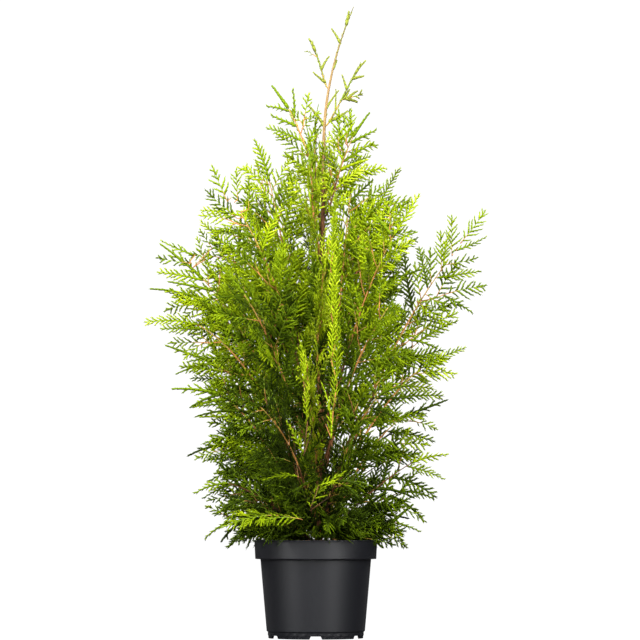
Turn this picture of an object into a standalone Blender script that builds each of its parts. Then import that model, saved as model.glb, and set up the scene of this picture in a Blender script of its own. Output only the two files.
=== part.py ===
"""Potted thuja: a young columnar conifer in a round nursery pot.

Units are metres and +Z is up. The origin lies on the pot's axis at the floor, and -Y is the
front. Azimuths are in degrees from +X, so -90 is the front and 180 the left.

The pot and the soil are turned profiles. The trunk, the boughs and the stems of the foliage
are tapering tubes along curves worked out from the tables below. Each mass of foliage is one
stem with twigs and toothed sprays set out by a seeded rule, joined by one Boolean union.
"""

import math
import random
from typing import NamedTuple

import bmesh
import bpy
import numpy as np
from mathutils import Matrix, Vector
from mathutils.bvhtree import BVHTree

# Clearance between solids that meet
GAP = 0.0003

# Pot: outer radii and heights, bottom to top
POT_STEPS = 36
POT_WALL = 0.0015
POT_HEIGHT = 0.1488
FOOT_INNER = 0.0690
FOOT_BOTTOM = 0.0720
FOOT_TOP = 0.0729
FOOT_HEIGHT = 0.0098
BODY_BOTTOM = 0.0748
BODY_FROM = 0.0110
BODY_TOP = 0.0842
BAND_BOTTOM = 0.0921
BAND_FROM = 0.1208
BAND_TOP = 0.0934
LIP_RADIUS = 0.0950
LIP_THICK = 0.0014
PLATE_UNDER = 0.0050
PLATE_THICK = 0.0016
NOTCHES = 6
NOTCH_BOTTOM = 0.0190
NOTCH_TOP = 0.0150
NOTCH_HEIGHT = 0.0047
NOTCH_DEPTH = 0.0120

# Soil
SOIL_EDGE = 0.1340
SOIL_CROWN = 0.1352

# Trunk
TRUNK_FOOT = 0.1355
TRUNK_TOP = 0.9640
TRUNK_FOOT_X = 0.0040
TRUNK_LEAN = 0.0110
TRUNK_NOD = 0.0430
TRUNK_NOD_FROM = 0.75
TRUNK_RADIUS = 0.0060
TRUNK_TIP_RADIUS = 0.0005
TRUNK_FLARE = 0.0028
TRUNK_FLARE_HEIGHT = 0.0160
TRUNK_SIDES = 8
TRUNK_RINGS = 14

# Boughs, stems and twigs
BOUGH_RADIUS = 0.0027
BOUGH_TIP_RADIUS = 0.0016
BOUGH_SIDES = 5
BOUGH_SEGMENTS = 4
STEM_RADIUS = 0.0020
STEM_TIP_RADIUS = 0.0011
STEM_SIDES = 3
STEM_SEGMENT = 0.070
TWIG_RADIUS = 0.0013
TWIG_TIP_RADIUS = 0.0010
ROOT_HANDLE = 0.15
TIP_HANDLE = 0.45
SWAY = 0.035

# Foliage
SEED = 2
SPRAY_SPACING = 0.041
FORK_EVERY = 4
SHOOT_ANGLE = 38.0
TWIG_SHARE = 0.36
TWIG_SPRAY_SHARE = 0.72
FROND_ROLL = 62.0
SPACE_SLACK = 0.026
SHRINK_STEPS = (1.0, 0.86, 0.72, 0.58)
ROLL_TRIES = 4
SHORTEST_SHARE = 0.46
SPRAY_THICK = 0.020
# A spray's lobes from root to tip: where the rib is thickest, then its outline, as shares of length
LOBES = (
    (0.33, ((0.49, 0.260), (0.445, 0.075))),
    (0.63, ((0.79, 0.225), (0.735, 0.060))),
)
SINK = 0.0012
COLLAR_AT = 0.0018
COLLAR_HALF_WIDTH = 0.0009
COLLAR_HALF_THICK = 0.0006

# Colours, linear
POT_COLOUR = (0.040, 0.040, 0.044)
SOIL_COLOUR = (0.035, 0.022, 0.014)
BARK_COLOUR = (0.190, 0.085, 0.040)
BOUGH_COLOUR = (0.420, 0.200, 0.080)
LEAF_DARK = (0.045, 0.120, 0.012)
LEAF_BRIGHT = (0.270, 0.450, 0.035)


class Limb(NamedTuple):
    """One bough with its foliage, or foliage that grows from the trunk where bare is 0."""

    name: str
    azimuth: float  # degrees
    foot: float  # height where it leaves the trunk
    reach: float  # how far its tip stands from the pot's axis
    top: float  # height of its tip
    rise: float  # degrees above level at the trunk
    nod: float  # degrees above level at its tip
    bare: float  # share of its length that is a bare bough
    spread: float  # longest side shoot
    bright: float  # 0 for the darkest green, 1 for the brightest


LIMBS = (
    # Left
    Limb("left_crown", 172, 0.330, 0.090, 0.768, 68, 74, 0.22, 0.105, 0.7),
    Limb("left_high", 197, 0.300, 0.168, 0.712, 62, 50, 0.24, 0.115, 0.8),
    Limb("left_shoulder", 160, 0.262, 0.188, 0.644, 60, 40, 0.24, 0.120, 0.6),
    Limb("left_wide", 184, 0.224, 0.236, 0.606, 60, 38, 0.26, 0.125, 0.8),
    Limb("left_mid", 170, 0.196, 0.250, 0.552, 60, 16, 0.26, 0.120, 0.6),
    Limb("left_low", 190, 0.176, 0.259, 0.500, 58, 6, 0.00, 0.115, 0.6),
    Limb("left_skirt", 174, 0.164, 0.236, 0.446, 54, 4, 0.00, 0.110, 0.5),
    Limb("left_hem", 196, 0.156, 0.228, 0.388, 48, -2, 0.00, 0.105, 0.5),
    Limb("left_foot", 164, 0.152, 0.200, 0.304, 40, -4, 0.00, 0.100, 0.3),
    Limb("left_base", 191, 0.1475, 0.188, 0.238, 30, -8, 0.00, 0.095, 0.3),
    Limb("left_droop", 171, 0.1435, 0.176, 0.162, 24, -30, 0.00, 0.085, 0.1),
    # Right
    Limb("right_crown", 14, 0.350, 0.066, 0.752, 70, 80, 0.24, 0.105, 0.7),
    Limb("right_shoulder", 32, 0.318, 0.146, 0.726, 66, 60, 0.26, 0.110, 0.5),
    Limb("right_high", -24, 0.296, 0.172, 0.672, 64, 52, 0.26, 0.115, 0.6),
    Limb("right_wide", 3, 0.173, 0.261, 0.644, 62, 46, 0.28, 0.125, 0.8),
    Limb("right_mid", 16, 0.204, 0.222, 0.494, 60, 30, 0.26, 0.115, 0.5),
    Limb("right_low", -15, 0.190, 0.232, 0.448, 58, 22, 0.00, 0.110, 0.5),
    Limb("right_skirt", 8, 0.160, 0.208, 0.364, 48, 6, 0.00, 0.105, 0.3),
    Limb("right_foot", -10, 0.152, 0.200, 0.292, 40, 22, 0.00, 0.100, 0.4),
    Limb("right_base", 14, 0.147, 0.190, 0.226, 30, -6, 0.00, 0.095, 0.3),
    Limb("right_droop", -6, 0.1435, 0.162, 0.166, 20, -24, 0.00, 0.085, 0.1),
    # Front
    Limb("front_high", -76, 0.312, 0.118, 0.664, 66, 70, 0.24, 0.110, 1.0),
    Limb("front_mid", -97, 0.236, 0.176, 0.470, 60, 40, 0.00, 0.110, 1.0),
    Limb("front_left", -137, 0.246, 0.204, 0.566, 60, 34, 0.26, 0.120, 0.8),
    Limb("front_right", -46, 0.258, 0.206, 0.540, 60, 36, 0.26, 0.120, 0.6),
    Limb("front_left_low", -124, 0.168, 0.226, 0.372, 50, 6, 0.00, 0.110, 0.7),
    Limb("front_right_low", -52, 0.178, 0.226, 0.396, 52, 12, 0.00, 0.110, 0.5),
    Limb("front_left_foot", -145, 0.1445, 0.180, 0.206, 28, -14, 0.00, 0.090, 0.9),
    Limb("front_foot", -74, 0.150, 0.204, 0.246, 36, -8, 0.00, 0.095, 0.9),
    # Back
    Limb("back_high", 96, 0.340, 0.132, 0.688, 66, 62, 0.24, 0.110, 0.6),
    Limb("back_mid", 84, 0.206, 0.200, 0.514, 60, 26, 0.00, 0.120, 0.6),
    Limb("back_left", 133, 0.232, 0.222, 0.556, 60, 30, 0.26, 0.120, 0.6),
    Limb("back_right", 47, 0.242, 0.222, 0.574, 60, 34, 0.26, 0.120, 0.6),
    Limb("back_low", 106, 0.164, 0.204, 0.372, 46, 2, 0.00, 0.115, 0.4),
    Limb("back_foot", 66, 0.147, 0.196, 0.246, 32, -12, 0.00, 0.100, 0.3),
    # Leader
    Limb("leader_front", -98, 0.560, 0.056, 0.786, 58, 74, 0.00, 0.085, 0.8),
    Limb("leader_right", 8, 0.640, 0.082, 0.806, 56, 54, 0.00, 0.080, 0.8),
    Limb("leader_left", 176, 0.690, 0.068, 0.846, 50, 50, 0.00, 0.070, 0.8),
    Limb("leader_back", 92, 0.600, 0.066, 0.826, 60, 66, 0.00, 0.080, 0.7),
    Limb("leader_tip_right", -14, 0.780, 0.076, 0.882, 52, 56, 0.00, 0.036, 0.8),
    Limb("leader_tip_left", 186, 0.838, 0.009, 0.916, 60, 66, 0.00, 0.030, 0.8),
)


def clear_scene():
    """Remove every object of the startup scene."""
    for obj in list(bpy.data.objects):
        bpy.data.objects.remove(obj, do_unlink=True)


def new_collection(name, hidden=False):
    """A collection of the scene, left out of renders where hidden."""
    collection = bpy.data.collections.new(name)
    collection.hide_render = hidden
    bpy.context.scene.collection.children.link(collection)
    return collection


def material(name, colour, roughness):
    """A plain Principled material."""
    made = bpy.data.materials.new(name)
    made.use_nodes = True
    shader = made.node_tree.nodes["Principled BSDF"]
    shader.inputs["Base Color"].default_value = (*colour, 1.0)
    shader.inputs["Roughness"].default_value = roughness
    made.diffuse_color = (*colour, 1.0)
    return made


def mesh_object(name, verts, faces, collection, smooth=False):
    """An object of one mesh, with its faces turned outwards."""
    mesh = bpy.data.meshes.new(name)
    mesh.from_pydata([tuple(v) for v in verts], [], faces)
    work = bmesh.new()
    work.from_mesh(mesh)
    bmesh.ops.recalc_face_normals(work, faces=work.faces)
    work.to_mesh(mesh)
    work.free()
    for polygon in mesh.polygons:
        polygon.use_smooth = smooth
    obj = bpy.data.objects.new(name, mesh)
    collection.objects.link(obj)
    return obj


def apply_modifiers(obj):
    """Bake an object's modifiers into its mesh."""
    graph = bpy.context.evaluated_depsgraph_get()
    baked = bpy.data.meshes.new_from_object(obj.evaluated_get(graph))
    old = obj.data
    obj.modifiers.clear()
    obj.data = baked
    baked.name = obj.name
    bpy.data.meshes.remove(old)


# Pot and soil


def turned(name, profile, collection):
    """A solid turned about Z from a profile of (radius, height) whose ends lie on the axis."""
    mesh = bpy.data.meshes.new(name)
    points = [(radius, 0.0, height) for radius, height in profile]
    mesh.from_pydata(points, [(i, i + 1) for i in range(len(points) - 1)], [])
    obj = bpy.data.objects.new(name, mesh)
    collection.objects.link(obj)
    screw = obj.modifiers.new("turn", "SCREW")
    screw.steps = POT_STEPS
    screw.render_steps = POT_STEPS
    screw.use_merge_vertices = True
    screw.merge_threshold = 0.00005
    screw.use_normal_calculate = True
    apply_modifiers(obj)
    work = bmesh.new()
    work.from_mesh(obj.data)
    bmesh.ops.remove_doubles(work, verts=work.verts, dist=0.00002)
    bmesh.ops.recalc_face_normals(work, faces=work.faces)
    work.to_mesh(obj.data)
    work.free()
    return obj


def wall_inside(height):
    """Inner radius of the pot's body wall at a height below the band."""
    share = (height - BODY_FROM) / (BAND_FROM - BODY_FROM)
    return BODY_BOTTOM + (BODY_TOP - BODY_BOTTOM) * share - POT_WALL


def notch_cutter(index, collection):
    """A trapezoid prism that opens the foot ring."""
    angle = math.radians(-90 + 360 / NOTCHES * index)
    mid = (FOOT_INNER + FOOT_BOTTOM) / 2
    low, high = -0.001, NOTCH_HEIGHT
    widen = (NOTCH_BOTTOM - NOTCH_TOP) / NOTCH_HEIGHT / 2
    verts = []
    for radius in (mid - NOTCH_DEPTH / 2, mid + NOTCH_DEPTH / 2):
        for height in (low, high):
            half = NOTCH_TOP / 2 + widen * (high - height)
            verts.extend(((radius, -half, height), (radius, half, height)))
    faces = [(0, 1, 3, 2), (4, 6, 7, 5), (0, 4, 5, 1), (2, 3, 7, 6), (0, 2, 6, 4), (1, 5, 7, 3)]
    turn = Matrix.Rotation(angle, 3, "Z")
    return mesh_object(f"notch_{index}", [turn @ Vector(v) for v in verts], faces, collection)


def build_pot(parts, cutters):
    """The pot: foot ring with six notches, base plate, sloping body, band and lip."""
    plate_top = PLATE_UNDER + PLATE_THICK
    band_inside = BAND_BOTTOM - POT_WALL
    profile = (
        (0.0, PLATE_UNDER),
        (FOOT_INNER, PLATE_UNDER),
        (FOOT_INNER, 0.0),
        (FOOT_BOTTOM, 0.0),
        (FOOT_TOP, FOOT_HEIGHT),
        (BODY_BOTTOM, BODY_FROM),
        (BODY_TOP, BAND_FROM - 0.0010),
        (BAND_BOTTOM, BAND_FROM),
        (BAND_TOP, POT_HEIGHT - LIP_THICK - 0.0006),
        (LIP_RADIUS, POT_HEIGHT - LIP_THICK),
        (LIP_RADIUS, POT_HEIGHT),
        (BAND_TOP - POT_WALL, POT_HEIGHT),
        (band_inside, BAND_FROM + 0.0014),
        (wall_inside(BAND_FROM), BAND_FROM - 0.0004),
        (wall_inside(BODY_FROM) - 0.0006, plate_top),
        (0.0, plate_top),
    )
    pot = turned("pot", profile, parts)
    for index in range(NOTCHES):
        cut = pot.modifiers.new(f"notch_{index}", "BOOLEAN")
        cut.operation = "DIFFERENCE"
        cut.object = notch_cutter(index, cutters)
    apply_modifiers(pot)
    pot.data.materials.append(material("pot_plastic", POT_COLOUR, 0.42))
    return pot


def build_soil(parts):
    """The soil fills the pot, a hair clear of its walls."""
    plate_top = PLATE_UNDER + PLATE_THICK
    band_inside = BAND_BOTTOM - POT_WALL
    slope = (BAND_TOP - BAND_BOTTOM) / (POT_HEIGHT - BAND_FROM)
    edge = band_inside + slope * (SOIL_EDGE - BAND_FROM)
    profile = (
        (0.0, plate_top + GAP),
        (wall_inside(BODY_FROM) - 0.0006 - GAP, plate_top + GAP),
        (wall_inside(BAND_FROM) - 1.4 * GAP, BAND_FROM - 0.0004),
        (band_inside - 2 * GAP, BAND_FROM + 0.0014 + GAP),
        (edge - GAP, SOIL_EDGE),
        (0.0, SOIL_CROWN),
    )
    soil = turned("soil", profile, parts)
    soil.data.materials.append(material("soil", SOIL_COLOUR, 0.95))
    return soil


# Trunk and limbs


def trunk_point(height):
    """Centre of the trunk at a height: a slight lean, and a nod near the tip."""
    share = (height - TRUNK_FOOT) / (TRUNK_TOP - TRUNK_FOOT)
    nod = max(0.0, (share - TRUNK_NOD_FROM) / (1 - TRUNK_NOD_FROM))
    return Vector((TRUNK_FOOT_X + TRUNK_LEAN * share + TRUNK_NOD * nod**2, 0.0, height))


def trunk_radius(height):
    """Radius of the trunk at a height, with the root flare at the soil."""
    share = min(1.0, (height - TRUNK_FOOT) / (TRUNK_TOP - TRUNK_FOOT))
    taper = TRUNK_TIP_RADIUS + (TRUNK_RADIUS - TRUNK_TIP_RADIUS) * (1 - share) ** 0.75
    return taper + TRUNK_FLARE * math.exp(-(height - TRUNK_FOOT) / TRUNK_FLARE_HEIGHT * 2)


def tube(centres, radii, sides, flat_to=None):
    """Vertices and faces of a closed tube. flat_to is a (point, normal) that its first end is cut to."""
    verts, faces = [], []
    side = None
    for i, centre in enumerate(centres):
        ahead = centres[min(i + 1, len(centres) - 1)] - centres[max(i - 1, 0)]
        ahead.normalize()
        if side is None:
            side = ahead.orthogonal().normalized()
        side = (side - ahead * side.dot(ahead)).normalized()
        other = ahead.cross(side)
        for k in range(sides):
            angle = 2 * math.pi * k / sides
            point = centre + (side * math.cos(angle) + other * math.sin(angle)) * radii[i]
            if i == 0 and flat_to:
                foot, normal = flat_to
                point += ahead * ((foot - point).dot(normal) / ahead.dot(normal))
            verts.append(point)
    for i in range(len(centres) - 1):
        for k in range(sides):
            low, high = i * sides, (i + 1) * sides
            nxt = (k + 1) % sides
            faces.append((low + k, low + nxt, high + nxt, high + k))
    faces.append(tuple(range(sides))[::-1])
    faces.append(tuple(range(len(verts) - sides, len(verts))))
    return verts, faces


def build_trunk(parts):
    """The trunk, whole from its flat cut at the soil to the tip of the leader."""
    heights = [TRUNK_FOOT + TRUNK_FLARE_HEIGHT * share for share in (0.0, 0.4)]
    first = TRUNK_FOOT + TRUNK_FLARE_HEIGHT
    for i in range(TRUNK_RINGS - 2):
        share = (i / (TRUNK_RINGS - 3)) ** 0.8
        heights.append(first + (TRUNK_TOP - first) * share)
    centres = [trunk_point(height) for height in heights]
    radii = [trunk_radius(height) for height in heights]
    foot = (centres[0].copy(), Vector((0, 0, 1)))
    verts, faces = tube(centres, radii, TRUNK_SIDES, foot)
    trunk = mesh_object("trunk", verts, faces, parts, smooth=True)
    trunk.data.materials.append(material("trunk_bark", BARK_COLOUR, 0.85))
    return trunk


def root_radius(limb):
    """Radius of a limb where it leaves the trunk, thicker on a longer limb."""
    length = math.hypot(limb.reach, limb.top - limb.foot)
    if limb.bare:
        return BOUGH_RADIUS * (length / 0.45) ** 0.4
    return STEM_RADIUS * (length / 0.25) ** 0.5


class Path:
    """A limb's centre line, read by its share of length from the trunk to the tip."""

    def __init__(self, limb, sway, trunk):
        azimuth = math.radians(limb.azimuth)
        self.out = Vector((math.cos(azimuth), math.sin(azimuth), 0))
        self.aside = Vector((-self.out.y, self.out.x, 0))
        middle = trunk_point(limb.foot)
        start = middle + self.out * (self.bark_beside(limb, middle, trunk) + GAP)
        end = self.out * limb.reach + Vector((0, 0, limb.top))
        span = (end - start).length
        leave = self.heading(limb.rise) * span * ROOT_HANDLE
        arrive = self.heading(limb.nod) * span * TIP_HANDLE
        controls = (start, start + leave, end - arrive, end)
        samples = []
        for i in range(65):
            t = i / 64
            weights = ((1 - t) ** 3, 3 * t * (1 - t) ** 2, 3 * t * t * (1 - t), t**3)
            point = sum((c * w for c, w in zip(controls, weights)), Vector())
            samples.append(point + self.aside * sway * span * math.sin(math.pi * t) ** 2)
        self.samples = samples
        steps = [(b - a).length for a, b in zip(samples, samples[1:])]
        self.lengths = np.concatenate(((0.0,), np.cumsum(steps)))
        self.length = float(self.lengths[-1])

    def bark_beside(self, limb, middle, trunk):
        """How far the trunk's surface stands out, over the height and width of the limb's root."""
        width = root_radius(limb)
        height = width / math.cos(math.radians(limb.rise))
        found = []
        for along in (-1, -0.5, 0, 0.5, 1):
            for across in (-1, -0.5, 0, 0.5, 1):
                target = middle + Vector((0, 0, along * height)) + self.aside * (across * width)
                hit = trunk.ray_cast(target + self.out * 0.1, -self.out)[0]
                if hit:
                    found.append((hit - middle).dot(self.out))
        return max(found)

    def heading(self, degrees):
        """Unit vector outwards at an angle above level."""
        angle = math.radians(degrees)
        return self.out * math.cos(angle) + Vector((0, 0, math.sin(angle)))

    def point(self, share):
        """Centre line at a share of its length."""
        at = share * self.length
        i = min(int(np.searchsorted(self.lengths, at, side="right")) - 1, len(self.samples) - 2)
        within = (at - self.lengths[i]) / (self.lengths[i + 1] - self.lengths[i])
        return self.samples[i].lerp(self.samples[i + 1], float(within))

    def tangent(self, share):
        """Direction of growth at a share of its length."""
        low, high = max(0.0, share - 0.01), min(1.0, share + 0.01)
        return (self.point(high) - self.point(low)).normalized()


def build_bough(limb, path, parts):
    """One bare tapering limb from the trunk to the start of its foliage."""
    shares = [limb.bare * i / BOUGH_SEGMENTS for i in range(BOUGH_SEGMENTS + 1)]
    centres = [path.point(share) for share in shares]
    base, tip = root_radius(limb), BOUGH_TIP_RADIUS
    radii = [base + (tip - base) * i / BOUGH_SEGMENTS for i in range(BOUGH_SEGMENTS + 1)]
    verts, faces = tube(centres, radii, BOUGH_SIDES, (centres[0].copy(), path.out))
    bough = mesh_object(f"bough_{limb.name}", verts, faces, parts, smooth=True)
    bough.data.materials.append(material(f"bough_{limb.name}", BOUGH_COLOUR, 0.8))
    return bough


# Foliage


class Spray(NamedTuple):
    """Where one toothed spray grows, which way it points and how its face is turned."""

    root: Vector
    ahead: Vector
    face: Vector
    length: float
    droop: float


def spray_mesh(spray, start=0.0, more=0.0):
    """A thin blade that widens from a point, thickest along its rib, with forward teeth down both sides."""
    ahead = spray.ahead.normalized()
    face = (spray.face - ahead * spray.face.dot(ahead)).normalized()
    across = ahead.cross(face)
    length = spray.length
    half_thick = (SPRAY_THICK * length + more) / 2
    verts = []

    def place(u, v, n):
        bend = -spray.droop * length * u * u
        verts.append(spray.root + ahead * (u * length) + across * v + face * (n + bend))
        return len(verts) - 1

    root = place(start / length, 0, 0)
    collar = (start + COLLAR_AT) / length
    ribs = {}
    for n in (1, -1):
        ribs[n] = [place(collar, 0, n * (COLLAR_HALF_THICK + more / 2))]
        ribs[n].extend(place(u, 0, n * half_thick) for u, _ in LOBES)
    outline = [(0, collar, COLLAR_HALF_WIDTH + more)]
    outline += [(i + 1, u, v * length + more) for i, (_, pairs) in enumerate(LOBES) for u, v in pairs]
    edges = {v: [(rib, place(u, v * width, 0)) for rib, u, width in outline] for v in (1, -1)}
    tip = (len(LOBES), place(1 + more / length, 0, 0))
    faces = []
    for n in (1, -1):
        for v in (1, -1):
            chain = [(0, root), *edges[v], tip]
            for (before, a), (rib, b) in zip(chain, chain[1:]):
                if rib != before:
                    faces.append((ribs[n][before], a, ribs[n][rib]))
                faces.append((ribs[n][rib], a, b))
    return verts, faces


class Space:
    """Keeps each mass to its own space and clear of all that is already built."""

    def __init__(self, paths, limbs):
        points, owners = [], []
        for index, (path, limb) in enumerate(zip(paths, limbs)):
            for i in range(25):
                share = limb.bare + (1 - limb.bare) * i / 24
                points.append(path.point(share))
                owners.append(index)
        self.points = np.array(points)
        self.owners = np.array(owners)
        self.lows = np.zeros((0, 3))
        self.highs = np.zeros((0, 3))
        self.trees = []

    def owned(self, index, verts):
        """Whether every point lies in this mass's space: nearest to its own stem, give or take the slack."""
        gaps = np.linalg.norm(self.points[None] - np.array(verts)[:, None], axis=2)
        own = gaps[:, self.owners == index].min(axis=1)
        other = gaps[:, self.owners != index].min(axis=1)
        return bool((own < other + SPACE_SLACK).all())

    def hits(self, verts, faces, skip=()):
        """Whether a closed shape touches anything that was added, save the skipped entries."""
        corners = np.array(verts)
        low, high = corners.min(axis=0), corners.max(axis=0)
        near = np.all((self.lows <= high) & (self.highs >= low), axis=1)
        tree = None
        for index in np.nonzero(near)[0]:
            if int(index) in skip:
                continue
            tree = tree or BVHTree.FromPolygons(verts, faces)
            if tree.overlap(self.trees[index]):
                return True
        return False

    def add(self, verts, faces):
        """Remember a shape and return its entry."""
        corners = np.array(verts)
        self.lows = np.vstack((self.lows, corners.min(axis=0)))
        self.highs = np.vstack((self.highs, corners.max(axis=0)))
        self.trees.append(BVHTree.FromPolygons(verts, faces))
        return len(self.trees) - 1

    def drop(self, entry):
        """Forget the last shape that was added."""
        self.lows, self.highs = self.lows[:entry], self.highs[:entry]
        del self.trees[entry:]

    def add_object(self, obj):
        """Remember an object's mesh."""
        verts = [vert.co.copy() for vert in obj.data.vertices]
        return self.add(verts, [tuple(polygon.vertices) for polygon in obj.data.polygons])


def side_length(along, limb):
    """Length of a side shoot at a share of the stem: longest a third of the way up."""
    rising = 0.80 + 0.28 * min(1.0, along / 0.3)
    return limb.spread * rising * (1.0 - 0.48 * max(0.0, along - 0.3) / 0.7)


class Mass:
    """One mass of foliage: a stem, its twigs and their sprays."""

    def __init__(self, index, limb, path, space):
        self.index, self.limb, self.path, self.space = index, limb, path, space
        self.rng = random.Random(SEED + 97 * index)
        self.members = []
        self.tip_spray = min(0.30 * path.length * (1 - limb.bare), 0.85 * limb.spread)
        self.from_share = limb.bare + GAP / path.length if limb.bare else 0.0
        self.to_share = 1 - 0.86 * self.tip_spray / path.length
        self.count = max(3, round((self.to_share - self.from_share) * path.length / STEM_SEGMENT))
        self.centres = [path.point(self.share_at(i / self.count)) for i in range(self.count + 1)]

    def share_at(self, along):
        """Share of the whole limb at a share of the stem."""
        return self.from_share + (self.to_share - self.from_share) * along

    def on_stem(self, along):
        """Middle of the stem as meshed, at a share of the stem."""
        i = min(int(along * self.count), self.count - 1)
        return self.centres[i].lerp(self.centres[i + 1], along * self.count - i)

    def stem(self):
        """The stem's mesh, cut flat to the trunk where it grows from it."""
        base = BOUGH_TIP_RADIUS if self.limb.bare else root_radius(self.limb)
        radii = [base + (STEM_TIP_RADIUS - base) * i / self.count for i in range(self.count + 1)]
        flat = None if self.limb.bare else (self.centres[0].copy(), self.path.out)
        return tube(self.centres, radii, STEM_SIDES, flat)

    def frame(self, share):
        """Growth direction and the frond's side direction, which lies in the upright plane outwards."""
        ahead = self.path.tangent(share)
        level = self.path.aside
        side = level.cross(ahead).normalized()
        return ahead, side

    def add_spray(self, root, ahead, face, lengths):
        """Set one spray on a twig or stem, at the first of some lengths that has room."""
        droop = self.rng.uniform(0.02, 0.12)
        for length in lengths:
            if length < SHORTEST_SHARE * self.limb.spread:
                return False
            spray = Spray(root, ahead, face, length, droop)
            verts, faces = spray_mesh(spray, start=0.0045, more=0.00045)
            if self.space.owned(self.index, verts) and not self.space.hits(verts, faces):
                verts, faces = spray_mesh(spray)
                self.space.add(verts, faces)
                self.members.append((verts, faces))
                return True
        return False

    def heading(self, ahead, side, sign):
        """Direction of a shoot off a line of growth and of its face, with a seeded angle and roll."""
        level = ahead.cross(side)
        angle = math.radians(SHOOT_ANGLE + self.rng.uniform(-8, 8))
        roll = math.radians(self.rng.uniform(-FROND_ROLL, FROND_ROLL))
        outwards = side * math.cos(roll) * sign + level * math.sin(roll)
        return (ahead * math.cos(angle) + outwards * math.sin(angle)).normalized(), outwards.cross(ahead)

    def add_side_spray(self, root, ahead, side, sign, length):
        """One spray off a line of growth, turned or shortened until it has room."""
        for step in SHRINK_STEPS:
            for _ in range(ROLL_TRIES):
                heading, face = self.heading(ahead, side, sign)
                if self.add_spray(root, heading, face, [length * step]):
                    return True
        return False

    def add_fork(self, along, sign):
        """A side twig with a spray at its end and one part way along it."""
        ahead, side = self.frame(self.share_at(along))
        length = side_length(along, self.limb)
        root = self.on_stem(along)
        size = length * TWIG_SHARE
        for _ in range(ROLL_TRIES):
            heading, face = self.heading(ahead, side, sign)
            end = root + heading * size
            test = tube([root + heading * 0.006, end], [TWIG_RADIUS + 0.0004, TWIG_TIP_RADIUS + 0.0004], 3)
            if not self.space.owned(self.index, [end]) or self.space.hits(*test):
                continue
            entry = self.space.add(*test)
            lengths = [length * step * TWIG_SPRAY_SHARE for step in SHRINK_STEPS]
            if self.add_spray(end - heading * SINK, heading, face, lengths):
                self.members.append(tube([root, end], [TWIG_RADIUS, TWIG_TIP_RADIUS], 3))
                lateral = heading.cross(face).normalized()
                middle = root.lerp(end, self.rng.uniform(0.4, 0.6))
                self.add_side_spray(middle, heading, lateral, self.rng.choice((-1, 1)), lengths[0])
                return True
            self.space.drop(entry)
        return False

    def grow(self):
        """Shoots on alternate sides from the foot of the stem to its tip, then the tip's spray."""
        ahead, side = self.frame(self.to_share)
        face = ahead.cross(side)
        root = self.on_stem(1.0) - ahead * SINK
        length = (self.path.point(1.0) - root).length
        heading = (self.path.point(1.0) - root).normalized()
        self.add_spray(root, heading, face, [length * step for step in SHRINK_STEPS])
        stem_length = (self.to_share - self.from_share) * self.path.length
        count = max(2, round(stem_length / (SPRAY_SPACING * min(1.0, self.limb.spread / 0.085))))
        sign = self.rng.choice((-1, 1))
        for i in range(count):
            along = (i + 0.55) / count
            if not self.limb.bare:
                along = 0.12 + 0.88 * along
            along = min(0.97, along)
            if i % FORK_EVERY != FORK_EVERY // 2 or not self.add_fork(along, sign):
                ahead, side = self.frame(self.share_at(along))
                size = side_length(along, self.limb) * self.rng.uniform(0.90, 1.10)
                self.add_side_spray(self.on_stem(along), ahead, side, sign, size)
            sign = -sign

    def join(self, parts):
        """Fuse the stem, twigs and sprays into one solid."""
        name = f"foliage_{self.limb.name}"
        stem = mesh_object(name, *self.stem(), parts)
        members = new_collection(f"members_{self.limb.name}", hidden=True)
        for i, (verts, faces) in enumerate(self.members):
            mesh_object(f"member_{self.limb.name}_{i}", verts, faces, members)
        union = stem.modifiers.new("union", "BOOLEAN")
        union.operation = "UNION"
        union.operand_type = "COLLECTION"
        union.collection = members
        union.solver = "MANIFOLD"
        apply_modifiers(stem)
        for obj in list(members.objects):
            bpy.data.objects.remove(obj, do_unlink=True)
        bpy.data.collections.remove(members)
        stem.data.materials.clear()
        colour = [d + (b - d) * self.limb.bright for d, b in zip(LEAF_DARK, LEAF_BRIGHT)]
        stem.data.materials.append(material(name, colour, 0.6))
        return stem


def main():
    """Build every part of the potted thuja."""
    clear_scene()
    parts = new_collection("potted_thuja")
    cutters = new_collection("cutters", hidden=True)
    pot = build_pot(parts, cutters)
    for cutter in cutters.objects:
        cutter.display_type = "WIRE"
        cutter.hide_render = True
    soil = build_soil(parts)
    trunk = build_trunk(parts)
    sways = random.Random(SEED)
    bark = BVHTree.FromPolygons(
        [vert.co for vert in trunk.data.vertices],
        [tuple(polygon.vertices) for polygon in trunk.data.polygons],
    )
    paths = [Path(limb, sways.uniform(-SWAY, SWAY), bark) for limb in LIMBS]
    boughs = [build_bough(limb, path, parts) for limb, path in zip(LIMBS, paths) if limb.bare]
    space = Space(paths, LIMBS)
    for obj in (pot, soil, trunk, *boughs):
        space.add_object(obj)
    masses = [Mass(i, limb, path, space) for i, (limb, path) in enumerate(zip(LIMBS, paths))]
    for mass in masses:
        space.add(*mass.stem())
    for mass in masses:
        mass.grow()
    for mass in masses:
        mass.join(parts)


main()
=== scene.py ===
"""Looks of a potted thuja: nursery pot, potting soil, bark and feathery foliage, in a white studio.

Units are metres and +Z is up. The origin lies on the pot's axis at the floor, and -Y is the front.
Azimuths are in degrees from +X, so -90 is the front and 180 the left.

The limbs follow the same table and the same growth rule as the solids that they replace. Each stem
is carried on to finer twigs, and each twig to fronds of toothed branchlets.
"""

import logging
import math
import random
from dataclasses import dataclass, field
from enum import Enum
from typing import NamedTuple, Sequence

import bmesh
import bpy
import numpy as np
from mathutils import Matrix, Vector, noise
from mathutils.bvhtree import BVHTree


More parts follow.
